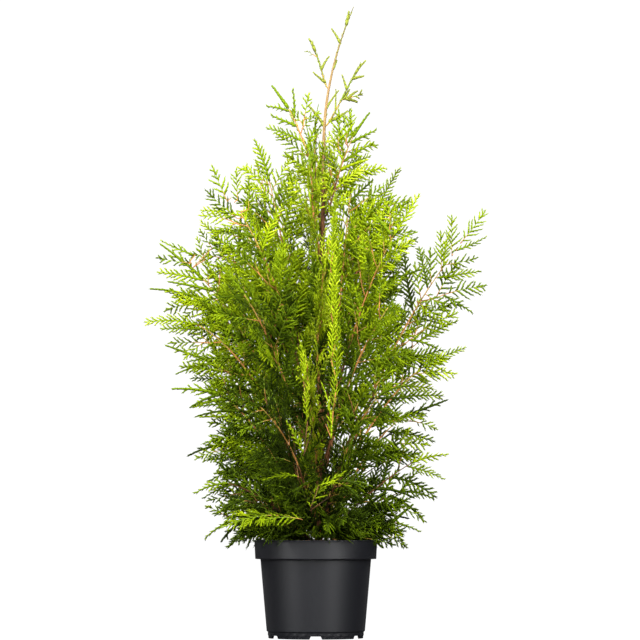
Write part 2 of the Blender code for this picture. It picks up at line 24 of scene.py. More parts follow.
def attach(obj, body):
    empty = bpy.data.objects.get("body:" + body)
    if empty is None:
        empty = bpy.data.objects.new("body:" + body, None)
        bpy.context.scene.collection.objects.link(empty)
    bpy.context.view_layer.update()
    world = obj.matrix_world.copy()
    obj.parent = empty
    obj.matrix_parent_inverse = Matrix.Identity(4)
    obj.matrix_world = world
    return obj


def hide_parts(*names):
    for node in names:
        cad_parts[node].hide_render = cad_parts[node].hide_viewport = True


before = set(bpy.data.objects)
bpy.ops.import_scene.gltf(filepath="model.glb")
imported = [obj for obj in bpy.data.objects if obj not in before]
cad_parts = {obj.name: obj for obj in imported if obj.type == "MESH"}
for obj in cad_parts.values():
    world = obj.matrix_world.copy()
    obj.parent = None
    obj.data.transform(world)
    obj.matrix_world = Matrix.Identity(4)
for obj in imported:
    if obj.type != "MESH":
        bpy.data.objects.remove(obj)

LOG = logging.getLogger("thuja")
BODY = "root"
MOST_TRIANGLES = 190_000
MIX_FIRST, MIX_SECOND, MIX_RESULT = 6, 7, 2  # a colour Mix node's sockets
PATH_STEPS = 64
UP = Vector((0, 0, 1))
ALONG = Vector((1, 0, 0))  # a frond pattern's own rib

Colour = tuple[float, float, float]


def linear(red: int, green: int, blue: int) -> Colour:
    """Turn an 8-bit screen colour into linear light.

    Args:
        red: Its red, 0 to 255.
        green: Its green.
        blue: Its blue.

    Returns:
        The same colour as three linear values.
    """
    shares = (value / 255 for value in (red, green, blue))
    return tuple(s / 12.92 if s <= 0.04045 else ((s + 0.055) / 1.055) ** 2.4 for s in shares)


# Pieces and meshes


def piece_from_mesh(mesh: bpy.types.Mesh, nodes: Sequence[str]) -> bpy.types.Object:
    """Put a finished mesh in the scene as a piece that rides on the plant's body.

    Args:
        mesh: The mesh, already in place.
        nodes: The solids that the piece stands for.

    Returns:
        The new object.
    """
    obj = bpy.data.objects.new(mesh.name, mesh)
    bpy.context.scene.collection.objects.link(obj)
    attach(obj, BODY)
    if nodes:
        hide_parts(*nodes)
    LOG.info("%s: %d faces, stands for %d solids", obj.name, len(mesh.polygons), len(nodes))
    return obj


def mesh_from_bmesh(name: str, work: bmesh.types.BMesh, smooth: bool = True) -> bpy.types.Mesh:
    """Close off a bmesh as a named mesh.

    Args:
        name: The mesh's name.
        work: The bmesh, which is freed.
        smooth: Whether its faces are shaded smooth.

    Returns:
        The mesh.
    """
    mesh = bpy.data.meshes.new(name)
    work.to_mesh(mesh)
    work.free()
    mesh.polygons.foreach_set("use_smooth", [smooth] * len(mesh.polygons))
    return mesh


def triangles_of(work: bmesh.types.BMesh) -> tuple[np.ndarray, np.ndarray, np.ndarray]:
    """Read a bmesh as triangles, and let it go.

    Args:
        work: The bmesh, which is freed.

    Returns:
        Its corners, its triangles and the material number of each triangle.
    """
    bmesh.ops.triangulate(work, faces=work.faces)
    work.verts.index_update()
    points = np.array([vert.co for vert in work.verts])
    triangles = np.array([[vert.index for vert in face.verts] for face in work.faces])
    numbers = np.array([face.material_index for face in work.faces])
    work.free()
    return points, triangles, numbers


class Batch:
    """Triangles of many small closed shapes, gathered to become one joined mesh."""

    def __init__(self) -> None:
        """Start with nothing gathered."""
        self.points: list[np.ndarray] = []
        self.triangles: list[np.ndarray] = []
        self.finishes: list[np.ndarray] = []
        self.nodes: set[str] = set()
        self.count = 0
        self.faces = 0

    def add(self, points: np.ndarray, triangles: np.ndarray, finishes: np.ndarray, node: str) -> None:
        """Gather one shape.

        Args:
            points: Its corners, one row each.
            triangles: Its triangles, as rows of three corner numbers.
            finishes: The material number of each triangle.
            node: The solid that it grows in place of.
        """
        self.points.append(points)
        self.triangles.append(triangles + self.count)
        self.finishes.append(finishes)
        self.nodes.add(node)
        self.count += len(points)
        self.faces += len(triangles)

    def piece(self, name: str, slot: str, finishes: Sequence[bpy.types.Material]) -> bpy.types.Object:
        """Make the joined mesh.

        Args:
            name: The piece's name.
            slot: The record's material slot; not used.
            finishes: The materials that the numbers stand for.

        Returns:
            The piece.
        """
        mesh = bpy.data.meshes.new(name)
        points, triangles = np.concatenate(self.points), np.concatenate(self.triangles)
        mesh.vertices.add(len(points))
        mesh.vertices.foreach_set("co", points.astype(np.float32).ravel())
        mesh.loops.add(triangles.size)
        mesh.loops.foreach_set("vertex_index", triangles.astype(np.int32).ravel())
        mesh.polygons.add(len(triangles))
        mesh.polygons.foreach_set("loop_start", np.arange(0, triangles.size, 3, dtype=np.int32))
        mesh.polygons.foreach_set("material_index", np.concatenate(self.finishes).astype(np.int32))
        mesh.update(calc_edges=True)
        mesh.validate()
        for finish in finishes:
            mesh.materials.append(finish)
        return piece_from_mesh(mesh, sorted(self.nodes))


# Finishes


class NodeKit:
    """Short calls for the nodes of one material or group."""

    def __init__(self, tree: bpy.types.NodeTree) -> None:
        """Work on a node tree."""
        self.tree = tree

    def node(self, kind: str, inputs: dict | None = None, **settings: object) -> bpy.types.Node:
        """Add a node.

        Args:
            kind: Its type, without the ShaderNode in front.
            inputs: Values for its sockets, or outputs to link to them.
            settings: Its own properties.

        Returns:
            The node.
        """
        made = self.tree.nodes.new(f"ShaderNode{kind}")
        for key, value in settings.items():
            setattr(made, key, value)
        for key, value in (inputs or {}).items():
            if isinstance(value, bpy.types.NodeSocket):
                self.tree.links.new(value, made.inputs[key])
            else:
                made.inputs[key].default_value = value
        return made

    def mix(self, share: bpy.types.NodeSocket, first: object, second: object) -> bpy.types.NodeSocket:
        """Blend two colours, or outputs that give them; share is how much of the second shows."""
        inputs = {"Factor": share, MIX_FIRST: first, MIX_SECOND: second}
        return self.node("Mix", inputs, data_type="RGBA").outputs[MIX_RESULT]


@dataclass(frozen=True)
class Grain:
    """The effect that the finishes share: a soft two-tone grain and its height."""

    name: str = "two_tone_grain"
    low: float = 0.34
    high: float = 0.66
    detail: float = 3.0

    def group(self) -> bpy.types.NodeTree:
        """Build the node group, unless it is already there.

        Returns:
            The group.
        """
        if self.name in bpy.data.node_groups:
            return bpy.data.node_groups[self.name]
        tree = bpy.data.node_groups.new(self.name, "ShaderNodeTree")
        for name, kind, value in (
            ("Dark", "NodeSocketColor", (0, 0, 0, 1)),
            ("Light", "NodeSocketColor", (1, 1, 1, 1)),
            ("Grains", "NodeSocketFloat", 400.0),
            ("Stretch", "NodeSocketVector", (1, 1, 1)),
        ):
            tree.interface.new_socket(name, in_out="INPUT", socket_type=kind).default_value = value
        tree.interface.new_socket("Colour", in_out="OUTPUT", socket_type="NodeSocketColor")
        tree.interface.new_socket("Height", in_out="OUTPUT", socket_type="NodeSocketFloat")
        kit = NodeKit(tree)
        given = tree.nodes.new("NodeGroupInput").outputs
        place = kit.node("TexCoord").outputs["Object"]
        drawn = kit.node("VectorMath", {0: place, 1: given["Stretch"]}, operation="MULTIPLY")
        grains = {"Vector": drawn.outputs[0], "Scale": given["Grains"], "Detail": self.detail}
        cloud = kit.node("TexNoise", grains).outputs["Fac"]
        share = kit.node("MapRange", {"Value": cloud, "From Min": self.low, "From Max": self.high})
        out = tree.nodes.new("NodeGroupOutput").inputs
        tree.links.new(kit.mix(share.outputs[0], given["Dark"], given["Light"]), out["Colour"])
        tree.links.new(share.outputs[0], out["Height"])
        return tree


@dataclass(frozen=True)
class Finish:
    """What every finish has: its grain, its gloss and its relief."""

    name: str
    dark: Colour
    light: Colour
    grains: float = 500.0
    stretch: tuple[float, float, float] = (1.0, 1.0, 1.0)
    gloss: tuple[float, float] = (0.5, 0.65)
    specular: float = 0.4
    relief: float = 0.0003
    relief_strength: float = 0.6

    def grain(self, kit: NodeKit, dark: Colour, light: Colour) -> bpy.types.Node:
        inputs = {"Dark": (*dark, 1), "Light": (*light, 1), "Grains": self.grains, "Stretch": self.stretch}
        return kit.node("Group", inputs, node_tree=Grain().group())

    def start(self) -> tuple[bpy.types.Material, NodeKit, bpy.types.Node, bpy.types.Node]:
        """Make the material with its grain, and link the roughness and the bump to it.

        Returns:
            The material, its node kit, the grain's node and the shader's node.
        """
        made = bpy.data.materials.new(self.name)
        made.use_nodes = True
        kit = NodeKit(made.node_tree)
        shader = made.node_tree.nodes["Principled BSDF"]
        shader.inputs["Specular IOR Level"].default_value = self.specular
        grain = self.grain(kit, self.dark, self.light)
        height = grain.outputs["Height"]
        gloss = kit.node("MapRange", {"Value": height, "To Min": self.gloss[0], "To Max": self.gloss[1]})
        inputs = {"Height": height, "Distance": self.relief, "Strength": self.relief_strength}
        made.node_tree.links.new(gloss.outputs[0], shader.inputs["Roughness"])
        made.node_tree.links.new(kit.node("Bump", inputs).outputs[0], shader.inputs["Normal"])
        return made, kit, grain, shader


@dataclass(frozen=True)
class GrainedFinish(Finish):
    """A finish whose colour is the grain's own two tones, as plastic and soil have."""

    def build(self) -> bpy.types.Material:
        """Make the material.

        Returns:
            The material.
        """
        made, _, grain, shader = self.start()
        made.node_tree.links.new(grain.outputs["Colour"], shader.inputs["Base Color"])
        return made


@dataclass(frozen=True)
class PlainFinish(Finish):
    """A finish of one base colour, for joined pieces whose colours are dealt out by spray."""

    def build(self) -> bpy.types.Material:
        """Make the material.

        Returns:
            The material.
        """
        made, _, _, shader = self.start()
        shader.inputs["Base Color"].default_value = (*self.light, 1)
        made.diffuse_color = (*self.light, 1)
        return made


@dataclass(frozen=True)
class BarkFinish(Finish):
    """Bark that turns from a green shoot's to young and then old along the limb, by its age attribute."""

    old_dark: Colour = (0.03, 0.015, 0.01)
    old_light: Colour = (0.09, 0.05, 0.03)
    shoot: Colour = (0.13, 0.122, 0.048)
    woody: tuple[float, float] = (0.02, 0.25)
    aged: tuple[float, float] = (0.30, 0.95)

    def build(self) -> bpy.types.Material:
        """Make the material.

        Returns:
            The material.
        """
        made, kit, young, shader = self.start()
        old = self.grain(kit, self.old_dark, self.old_light)
        age = kit.node("Attribute", attribute_name="age").outputs["Fac"]
        woody, aged = (
            kit.node("MapRange", {"Value": age, "From Min": low, "From Max": high}).outputs[0]
            for low, high in (self.woody, self.aged)
        )
        tan = kit.mix(woody, (*self.shoot, 1), young.outputs["Colour"])
        mixed = kit.mix(aged, tan, old.outputs["Colour"])
        made.node_tree.links.new(mixed, shader.inputs["Base Color"])
        return made


PLASTIC = GrainedFinish(
    name="pot_plastic",
    dark=linear(9, 10, 14),
    light=linear(15, 16, 22),
    grains=900.0,
    gloss=(0.43, 0.49),
    specular=0.5,
    relief=0.00004,
)
COMPOST = GrainedFinish(
    name="compost",
    dark=linear(34, 24, 18),
    light=linear(86, 64, 46),
    grains=420.0,
    gloss=(0.85, 0.98),
    relief=0.0008,
)
TRUNK_BARK = BarkFinish(
    name="bark_of_trunk",
    dark=linear(122, 96, 60),
    light=linear(160, 132, 88),
    grains=700.0,
    stretch=(1.0, 1.0, 0.22),
    gloss=(0.60, 0.80),
    specular=0.12,
    relief=0.0006,
    old_dark=linear(50, 31, 18),
    old_light=linear(104, 68, 41),
)
BOUGH_BARK = BarkFinish(
    name="bark_of_boughs",
    dark=linear(136, 84, 48),
    light=linear(192, 132, 82),
    grains=800.0,
    stretch=(1.0, 1.0, 0.4),
    gloss=(0.58, 0.78),
    specular=0.14,
    relief=0.0005,
    old_dark=linear(60, 36, 24),
    old_light=linear(124, 80, 52),
)


class Green(Enum):
    """Greens from the shaded inside of the crown to its lit tips, as screen colours."""

    SHADED = (30, 42, 3)
    DEEP = (48, 64, 4)
    DARK = (71, 91, 5)
    MIDDLE = (98, 120, 6)
    FRESH = (124, 145, 9)
    BRIGHT = (149, 168, 14)
    LIME = (174, 191, 34)
    YELLOW = (192, 205, 70)
    OLIVE = (122, 130, 46)

    @classmethod
    def ladder(cls) -> list["Green"]:
        """The greens of the crown from dark to bright; the olive is the leader's own."""
        return [green for green in cls if green is not cls.OLIVE]

    def shades(self) -> tuple["Green", "Green", "Green"]:
        """Find the greens beside this one; the olive stands alone.

        Returns:
            The next darker green, this one and the next paler one.
        """
        ladder = Green.ladder()
        if self not in ladder:
            return self, self, self
        at = ladder.index(self)
        return ladder[max(at - 1, 0)], self, ladder[min(at + 1, len(ladder) - 1)]

    def slot(self) -> str:
        """Find the slot for leaves of this green.

        Returns:
            The record's name for it.
        """
        if self in (Green.SHADED, Green.DEEP, Green.DARK):
            return "foliage_dark"
        return "foliage_mid" if self in (Green.MIDDLE, Green.FRESH) else "foliage_bright"

    def finish(self) -> PlainFinish:
        """The finish of scale leaves in this green."""
        base = linear(*self.value)
        return PlainFinish(
            name=f"leaf_{self.name.lower()}",
            dark=base,
            light=base,
            grains=900.0,
            gloss=(0.46, 0.66),
            specular=0.05,
            relief=0.0002,
        )


class Wood(Enum):
    """Twig colours from old wood to the green ribs of the fronds, as screen colours."""

    OLD = (66, 48, 36)
    BROWN = (98, 66, 40)
    ORANGE = (174, 122, 64)
    TAN = (168, 140, 68)
    GREEN = (122, 146, 44)

    def finish(self) -> PlainFinish:
        """The finish of twigs in this colour."""
        base = linear(*self.value)
        return PlainFinish(
            name=f"twig_{self.name.lower()}",
            dark=base,
            light=base,
            grains=1200.0,
            gloss=(0.55, 0.75),
            specular=0.12,
            relief=0.0002,
        )


# Growth rule


class Limb(NamedTuple):
    """One bough with its foliage, or foliage that grows from the trunk where bare is 0."""

    name: str
    azimuth: float  # degrees
    foot: float  # height where it leaves the trunk
    reach: float  # how far its tip stands from the pot's axis
    top: float  # height of its tip
    rise: float  # degrees above level at the trunk
    nod: float  # degrees above level at its tip
    bare: float  # share of its length that is a bare bough
    spread: float  # longest side shoot
    bright: float  # 0 for the darkest green, 1 for the brightest; partly young growth, partly painted light and shade of its place in the crown


LIMBS = (
    # Left
    Limb("left_crown", 172, 0.330, 0.090, 0.768, 68, 74, 0.22, 0.105, 0.7),
    Limb("left_high", 197, 0.300, 0.168, 0.712, 62, 50, 0.24, 0.115, 0.8),
    Limb("left_shoulder", 160, 0.262, 0.188, 0.644, 60, 40, 0.24, 0.120, 0.6),
    Limb("left_wide", 184, 0.224, 0.236, 0.606, 60, 38, 0.26, 0.125, 0.8),
    Limb("left_mid", 170, 0.196, 0.250, 0.552, 60, 16, 0.26, 0.120, 0.6),
    Limb("left_low", 190, 0.176, 0.259, 0.500, 58, 6, 0.00, 0.115, 0.6),
    Limb("left_skirt", 174, 0.164, 0.236, 0.446, 54, 4, 0.00, 0.110, 0.5),
    Limb("left_hem", 196, 0.156, 0.228, 0.388, 48, -2, 0.00, 0.105, 0.5),
    Limb("left_foot", 164, 0.152, 0.200, 0.304, 40, -4, 0.00, 0.100, 0.3),
    Limb("left_base", 191, 0.1475, 0.188, 0.238, 30, -8, 0.00, 0.095, 0.3),
    Limb("left_droop", 171, 0.1435, 0.176, 0.162, 24, -30, 0.00, 0.085, 0.1),
    # Right
    Limb("right_crown", 14, 0.350, 0.066, 0.752, 70, 80, 0.24, 0.105, 0.7),
    Limb("right_shoulder", 32, 0.318, 0.146, 0.726, 66, 60, 0.26, 0.110, 0.5),
    Limb("right_high", -24, 0.296, 0.172, 0.672, 64, 52, 0.26, 0.115, 0.6),
    Limb("right_wide", 3, 0.173, 0.261, 0.644, 62, 46, 0.28, 0.125, 0.8),
    Limb("right_mid", 16, 0.204, 0.222, 0.494, 60, 30, 0.26, 0.115, 0.5),
    Limb("right_low", -15, 0.190, 0.232, 0.448, 58, 22, 0.00, 0.110, 0.5),
    Limb("right_skirt", 8, 0.160, 0.208, 0.364, 48, 6, 0.00, 0.105, 0.3),
    Limb("right_foot", -10, 0.152, 0.200, 0.292, 40, 22, 0.00, 0.100, 0.4),
    Limb("right_base", 14, 0.147, 0.190, 0.226, 30, -6, 0.00, 0.095, 0.3),
    Limb("right_droop", -6, 0.1435, 0.162, 0.166, 20, -24, 0.00, 0.085, 0.1),
    # Front
    Limb("front_high", -76, 0.312, 0.118, 0.664, 66, 70, 0.24, 0.110, 1.0),
    Limb("front_mid", -97, 0.236, 0.176, 0.470, 60, 40, 0.00, 0.110, 1.0),
    Limb("front_left", -137, 0.246, 0.204, 0.566, 60, 34, 0.26, 0.120, 0.8),
    Limb("front_right", -46, 0.258, 0.206, 0.540, 60, 36, 0.26, 0.120, 0.6),
    Limb("front_left_low", -124, 0.168, 0.226, 0.372, 50, 6, 0.00, 0.110, 0.7),
    Limb("front_right_low", -52, 0.178, 0.226, 0.396, 52, 12, 0.00, 0.110, 0.5),
    Limb("front_left_foot", -145, 0.1445, 0.180, 0.206, 28, -14, 0.00, 0.090, 0.9),
    Limb("front_foot", -74, 0.150, 0.204, 0.246, 36, -8, 0.00, 0.095, 0.9),
    # Back
    Limb("back_high", 96, 0.340, 0.132, 0.688, 66, 62, 0.24, 0.110, 0.6),
    Limb("back_mid", 84, 0.206, 0.200, 0.514, 60, 26, 0.00, 0.120, 0.6),
    Limb("back_left", 133, 0.232, 0.222, 0.556, 60, 30, 0.26, 0.120, 0.6),
    Limb("back_right", 47, 0.242, 0.222, 0.574, 60, 34, 0.26, 0.120, 0.6),
    Limb("back_low", 106, 0.164, 0.204, 0.372, 46, 2, 0.00, 0.115, 0.4),
    Limb("back_foot", 66, 0.147, 0.196, 0.246, 32, -12, 0.00, 0.100, 0.3),
    # Leader
    Limb("leader_front", -98, 0.560, 0.056, 0.786, 58, 74, 0.00, 0.085, 0.8),
    Limb("leader_right", 8, 0.640, 0.082, 0.806, 56, 54, 0.00, 0.080, 0.8),
    Limb("leader_left", 176, 0.690, 0.068, 0.846, 50, 50, 0.00, 0.070, 0.8),
    Limb("leader_back", 92, 0.600, 0.066, 0.826, 60, 66, 0.00, 0.080, 0.7),
    Limb("leader_tip_right", -14, 0.780, 0.076, 0.882, 52, 56, 0.00, 0.036, 0.8),
    Limb("leader_tip_left", 186, 0.838, 0.009, 0.916, 60, 66, 0.00, 0.030, 0.8),
)


@dataclass
class Trunk:
    """The trunk: whole from its flat cut at the soil to the tip of the leader."""

    foot: float = 0.1355
    top: float = 0.9640
    foot_x: float = 0.0040
    lean: float = 0.0110
    nod: float = 0.0430
    nod_from: float = 0.75
    foot_radius: float = 0.0060
    tip_radius: float = 0.0005
    taper: float = 0.75
    flare: float = 0.0028
    flare_height: float = 0.0160
    sides: int = 28
    rings: int = 260
    ring_crowding: float = 1.15
    ridges: float = 0.00055
    green_tip: float = 0.17
    tan_age: float = 0.3
    tan_from: float = 0.75
    brown_below: float = 0.13

    def point(self, height: float) -> Vector:
        """Find the centre of the trunk, with its slight lean and the nod near its tip.

        Args:
            height: The height.

        Returns:
            The centre there.
        """
        share = (height - self.foot) / (self.top - self.foot)
        nod = max(0.0, (share - self.nod_from) / (1 - self.nod_from))
        return Vector((self.foot_x + self.lean * share + self.nod * nod**2, 0.0, height))

    def radius(self, height: float) -> float:
        """Find the radius of the trunk, with the root flare at the soil.

        Args:
            height: The height.

        Returns:
            The radius there.
        """
        share = min(1.0, (height - self.foot) / (self.top - self.foot))
        tapered = self.tip_radius + (self.foot_radius - self.tip_radius) * (1 - share) ** self.taper
        return tapered + self.flare * math.exp(-2 * (height - self.foot) / self.flare_height)

    def age(self, share: float) -> float:
        """Find how old the bark is.

        Args:
            share: The place, as a share of the trunk's height.

        Returns:
            The age: 1 in the brown part, less where it is tan, and 0 at the green tip.
        """
        turn = min(1.0, max(0.0, (self.tan_from - share) / self.brown_below))
        tan = self.tan_age * min(1.0, (1 - share) / self.green_tip)
        return tan + (1 - self.tan_age) * turn * turn * (3 - 2 * turn)

    def build(self, bark: bpy.types.Material) -> bpy.types.Object:
        """Sweep the trunk with the bark's relief.

        Args:
            bark: Its material.

        Returns:
            The piece that stands for the trunk.
        """
        shares = [(i / (self.rings - 1)) ** self.ring_crowding for i in range(self.rings)]
        heights = [self.foot + (self.top - self.foot) * share for share in shares]
        centres, radii = [self.point(h) for h in heights], [self.radius(h) for h in heights]
        work = bmesh.new()
        BarkSweep(self.sides, self.ridges).sweep(work, centres, radii, [self.age(s) for s in shares])
        mesh = mesh_from_bmesh("trunk_bark", work)
        mesh.materials.append(bark)
        return piece_from_mesh(mesh, ["trunk"])


@dataclass
class BarkSweep:
    """A closed tube with the fine upright ridges and old leaf scars of young bark."""

    sides: int
    ridges: float  # height of the relief; 0 for a smooth twig
    fibres: tuple[float, float] = (3.1, 70.0)  # how often they come round the limb, and to the metre
    scars: tuple[float, float] = (1.3, 260.0)
    scar_shift: float = 7.0
    full_relief_radius: float = 0.004

    def relief(self, angle: float, along: float, radius: float) -> float:
        """Find the height of the bark above the smooth limb.

        Args:
            angle: Place round the limb, in radians.
            along: Place along the limb, in metres.
            radius: The limb's radius there.

        Returns:
            The height, smaller on thinner wood.
        """
        x, y = math.cos(angle), math.sin(angle)
        fibre = noise.noise(Vector((x * self.fibres[0], y * self.fibres[0], along * self.fibres[1])))
        places = (x * self.scars[0] + self.scar_shift, y * self.scars[0], along * self.scars[1])
        share = min(1.0, radius / self.full_relief_radius)
        return self.ridges * share * (0.9 * fibre + 0.7 * noise.noise(Vector(places)))

    def sweep(
        self,
        work: bmesh.types.BMesh,
        centres: Sequence[Vector],
        radii: Sequence[float],
        ages: Sequence[float],
    ) -> None:
        """Extrude one ring of the tube after another along a centre line, then cap it.

        Args:
            work: The bmesh that the tube is added to.
            centres: Its centre line.
            radii: Its radius at each centre.
            ages: The age attribute at each centre, from 0 for young wood to 1 for old.
        """
        layer = work.verts.layers.float.get("age") or work.verts.layers.float.new("age")
        ring = bmesh.ops.create_circle(work, segments=self.sides, radius=1.0, cap_ends=True)["verts"]
        side = (centres[1] - centres[0]).orthogonal()
        along = 0.0
        last = len(centres) - 1
        for i, (centre, radius, age) in enumerate(zip(centres, radii, ages)):
            if i:
                made = bmesh.ops.extrude_edge_only(work, edges=self.ring_edges(ring))["geom"]
                ring = self.in_order([g for g in made if isinstance(g, bmesh.types.BMVert)], ring)
                along += (centre - centres[i - 1]).length
            ahead = (centres[min(i + 1, last)] - centres[max(i - 1, 0)]).normalized()
            side = (side - ahead * side.dot(ahead)).normalized()
            other = ahead.cross(side)
            for k, vert in enumerate(ring):
                angle = 2 * math.pi * k / self.sides
                reach = radius + self.relief(angle, along, radius)
                vert.co = centre + (side * math.cos(angle) + other * math.sin(angle)) * reach
                vert[layer] = age
        bmesh.ops.contextual_create(work, geom=self.ring_edges(ring))
        bmesh.ops.recalc_face_normals(work, faces=work.faces)

    @staticmethod
    def ring_edges(ring: Sequence[bmesh.types.BMVert]) -> list[bmesh.types.BMEdge]:
        """List the edges between neighbours of a ring."""
        members = set(ring)
        return [e for e in {e for v in ring for e in v.link_edges} if set(e.verts) <= members]

    @staticmethod
    def in_order(
        made: Sequence[bmesh.types.BMVert], before: Sequence[bmesh.types.BMVert]
    ) -> list[bmesh.types.BMVert]:
        """Put new corners in the order of the ring that they were extruded from."""
        new = set(made)
        return [next(e.other_vert(v) for e in v.link_edges if e.other_vert(v) in new) for v in before]


class Lay(Enum):
    """How a mass lays its fronds.

    Each has the roll off upright, the roll's spread on both sides and the angle off the stem, in degrees,
    and the share of its fronds that are spires.
    """

    MIXED = (0, 60, 40, 0.28)
    FLAT = (0, 34, 40, 0.38)
    UPRIGHT = (0, 40, 22, 0.60)
    LEVEL = (84, 24, 40, 0.30)

    def __init__(self, roll: float, spread: float, angle: float, spires: float) -> None:
        """Name the values.

        Args:
            roll: The roll off upright.
            spread: Its spread on both sides.
            angle: The angle off the stem.
            spires: The share of spires at the stem's foot.
        """
        self.roll = roll
        self.spread = spread
        self.angle = angle
        self.spires = spires

    @classmethod
    def of(cls, limb: Limb) -> "Lay":
        """Choose the lay of a limb's fronds.

        Args:
            limb: The limb.

        Returns:
            Its lay.
        """
        if limb.name in ("front_high", "front_mid"):
            return cls.UPRIGHT
        if limb.name in ("front_foot", "front_left_foot"):
            return cls.LEVEL
        return cls.FLAT if limb.name.startswith(("left", "right", "leader")) else cls.MIXED


class Manner(NamedTuple):
    """How a mass's fronds differ from the usual."""

    openness: float = 1.0  # how far apart they stand
    lift: float = 0.0  # how much paler they are, as painted light; below 0 darker, as painted shade


# The lifts paint light and shade on whole masses, paler where a mass should look more lit and darker where
# more shaded.
MANNERS = {
    "left_crown": Manner(0.7, 0.08),
    "left_high": Manner(0.75, 0.10),
    "left_shoulder": Manner(0.75, 0.10),
    "left_wide": Manner(0.8, 0.06),
    "left_mid": Manner(2.0, 0.04),
    "left_low": Manner(1.4, 0.04),
    "left_skirt": Manner(1.0, 0.06),
    "left_hem": Manner(0.6, 0.0),
    "left_foot": Manner(0.7, 0.0),
    "right_crown": Manner(0.65, 0.08),
    "right_shoulder": Manner(0.65, 0.06),
    "right_high": Manner(1.0, 0.08),
    "right_wide": Manner(1.8, -0.02),
    "right_mid": Manner(2.6, 0.10),
    "right_low": Manner(2.2, 0.08),
    "right_skirt": Manner(1.25, 0.0),
    "right_foot": Manner(1.2, 0.0),
    "right_base": Manner(1.3, 0.0),
    "front_high": Manner(1.0, -0.12),
    "front_mid": Manner(1.0, -0.20),
    "front_right": Manner(1.35, 0.10),
    "front_left_low": Manner(1.0, -0.18),
    "front_right_low": Manner(1.0, 0.04),
    "front_left_foot": Manner(0.7, 0.0),
    "front_foot": Manner(1.0, -0.10),
    "back_high": Manner(0.8, 0.0),
    "back_right": Manner(1.8, 0.0),
    "leader_front": Manner(0.8, 0.12),
    "leader_right": Manner(0.65, 0.12),
    "leader_left": Manner(1.15, 0.12),
    "leader_back": Manner(0.75, 0.12),
}


@dataclass
class GrowthRule:
    """The named sizes of the rule that the limbs, twigs and fronds grow by."""

    gap: float = 0.0003
    bough_radius: float = 0.0027
    bough_tip_radius: float = 0.0016
    stem_radius: float = 0.0020
    stem_tip_radius: float = 0.0007
    root_handle: float = 0.15
    tip_handle: float = 0.45
    sway: float = 0.035
    seed: int = 2
    bough_sides: int = 14
    bough_rings: int = 34
    bough_ridges: float = 0.00035
    bough_root_age: float = 1.0
    bough_tip_age: float = 0.38
    bough_sink: float = 0.002
    stem_rings: int = 26
    stem_sink: float = 0.0015
    twig_sides: int = 6
    fork_radii: tuple[float, float] = (0.0010, 0.0007)
    shoot_radii: tuple[float, float] = (0.0008, 0.0007)
    frond_spacing: float = 0.0118
    upright_spacing: float = 0.0046
    leader_spacing: float = 0.020
    inner_spacing: float = 0.0135
    skirt_fronds: int = 150
    leader_shoots: tuple[tuple[float, float, float], ...] = (
        (0.780, -0.55, 0.040),
        (0.806, 0.50, 0.036),
        (0.868, 0.42, 0.016),
        (0.908, -0.42, 0.027),
        (0.936, 0.10, 0.022),
        (0.944, -0.10, 0.012),
    )
    leader_clothed: tuple[float, float] = (0.868, 0.960)
    leader_scale: tuple[float, float] = (0.0036, 0.0062)  # spacing and length
    side_scale: tuple[float, float] = (0.0030, 0.0076)
    scale_section: tuple[float, float] = (0.0036, 0.0026)  # width and thickness
    old_below: float = 0.36
    young_above: float = 0.42
    shaded_below: float = 0.16
    lit_over: float = 0.50
    hanging_over: float = 0.40
    fork_every: int = 4
    fork_share: float = 0.42
    slack: float = 0.026
    tries: int = 7
    shortest: float = 0.34
    shortening: float = 0.09

    def root_radius(self, limb: Limb) -> float:
        """Find the radius of a limb where it leaves the trunk.

        Args:
            limb: The limb.

        Returns:
            The radius, thicker on a longer limb.
        """
        length = math.hypot(limb.reach, limb.top - limb.foot)
        if limb.bare:
            return self.bough_radius * (length / 0.45) ** 0.4
        return self.stem_radius * (length / 0.25) ** 0.5

    def rise(self, height: float) -> float:
        """How far up out of the crown's shaded foot a height is, from 0 to 1."""
        return min(1.0, max(0.0, (height - self.shaded_below) / self.lit_over))

    @staticmethod
    def side_length(along: float, limb: Limb) -> float:
        """Length of a side shoot at a share of the stem: longest a third of the way up."""
        rising = 0.80 + 0.28 * min(1.0, along / 0.3)
        return limb.spread * rising * (1.0 - 0.48 * max(0.0, along - 0.3) / 0.7)


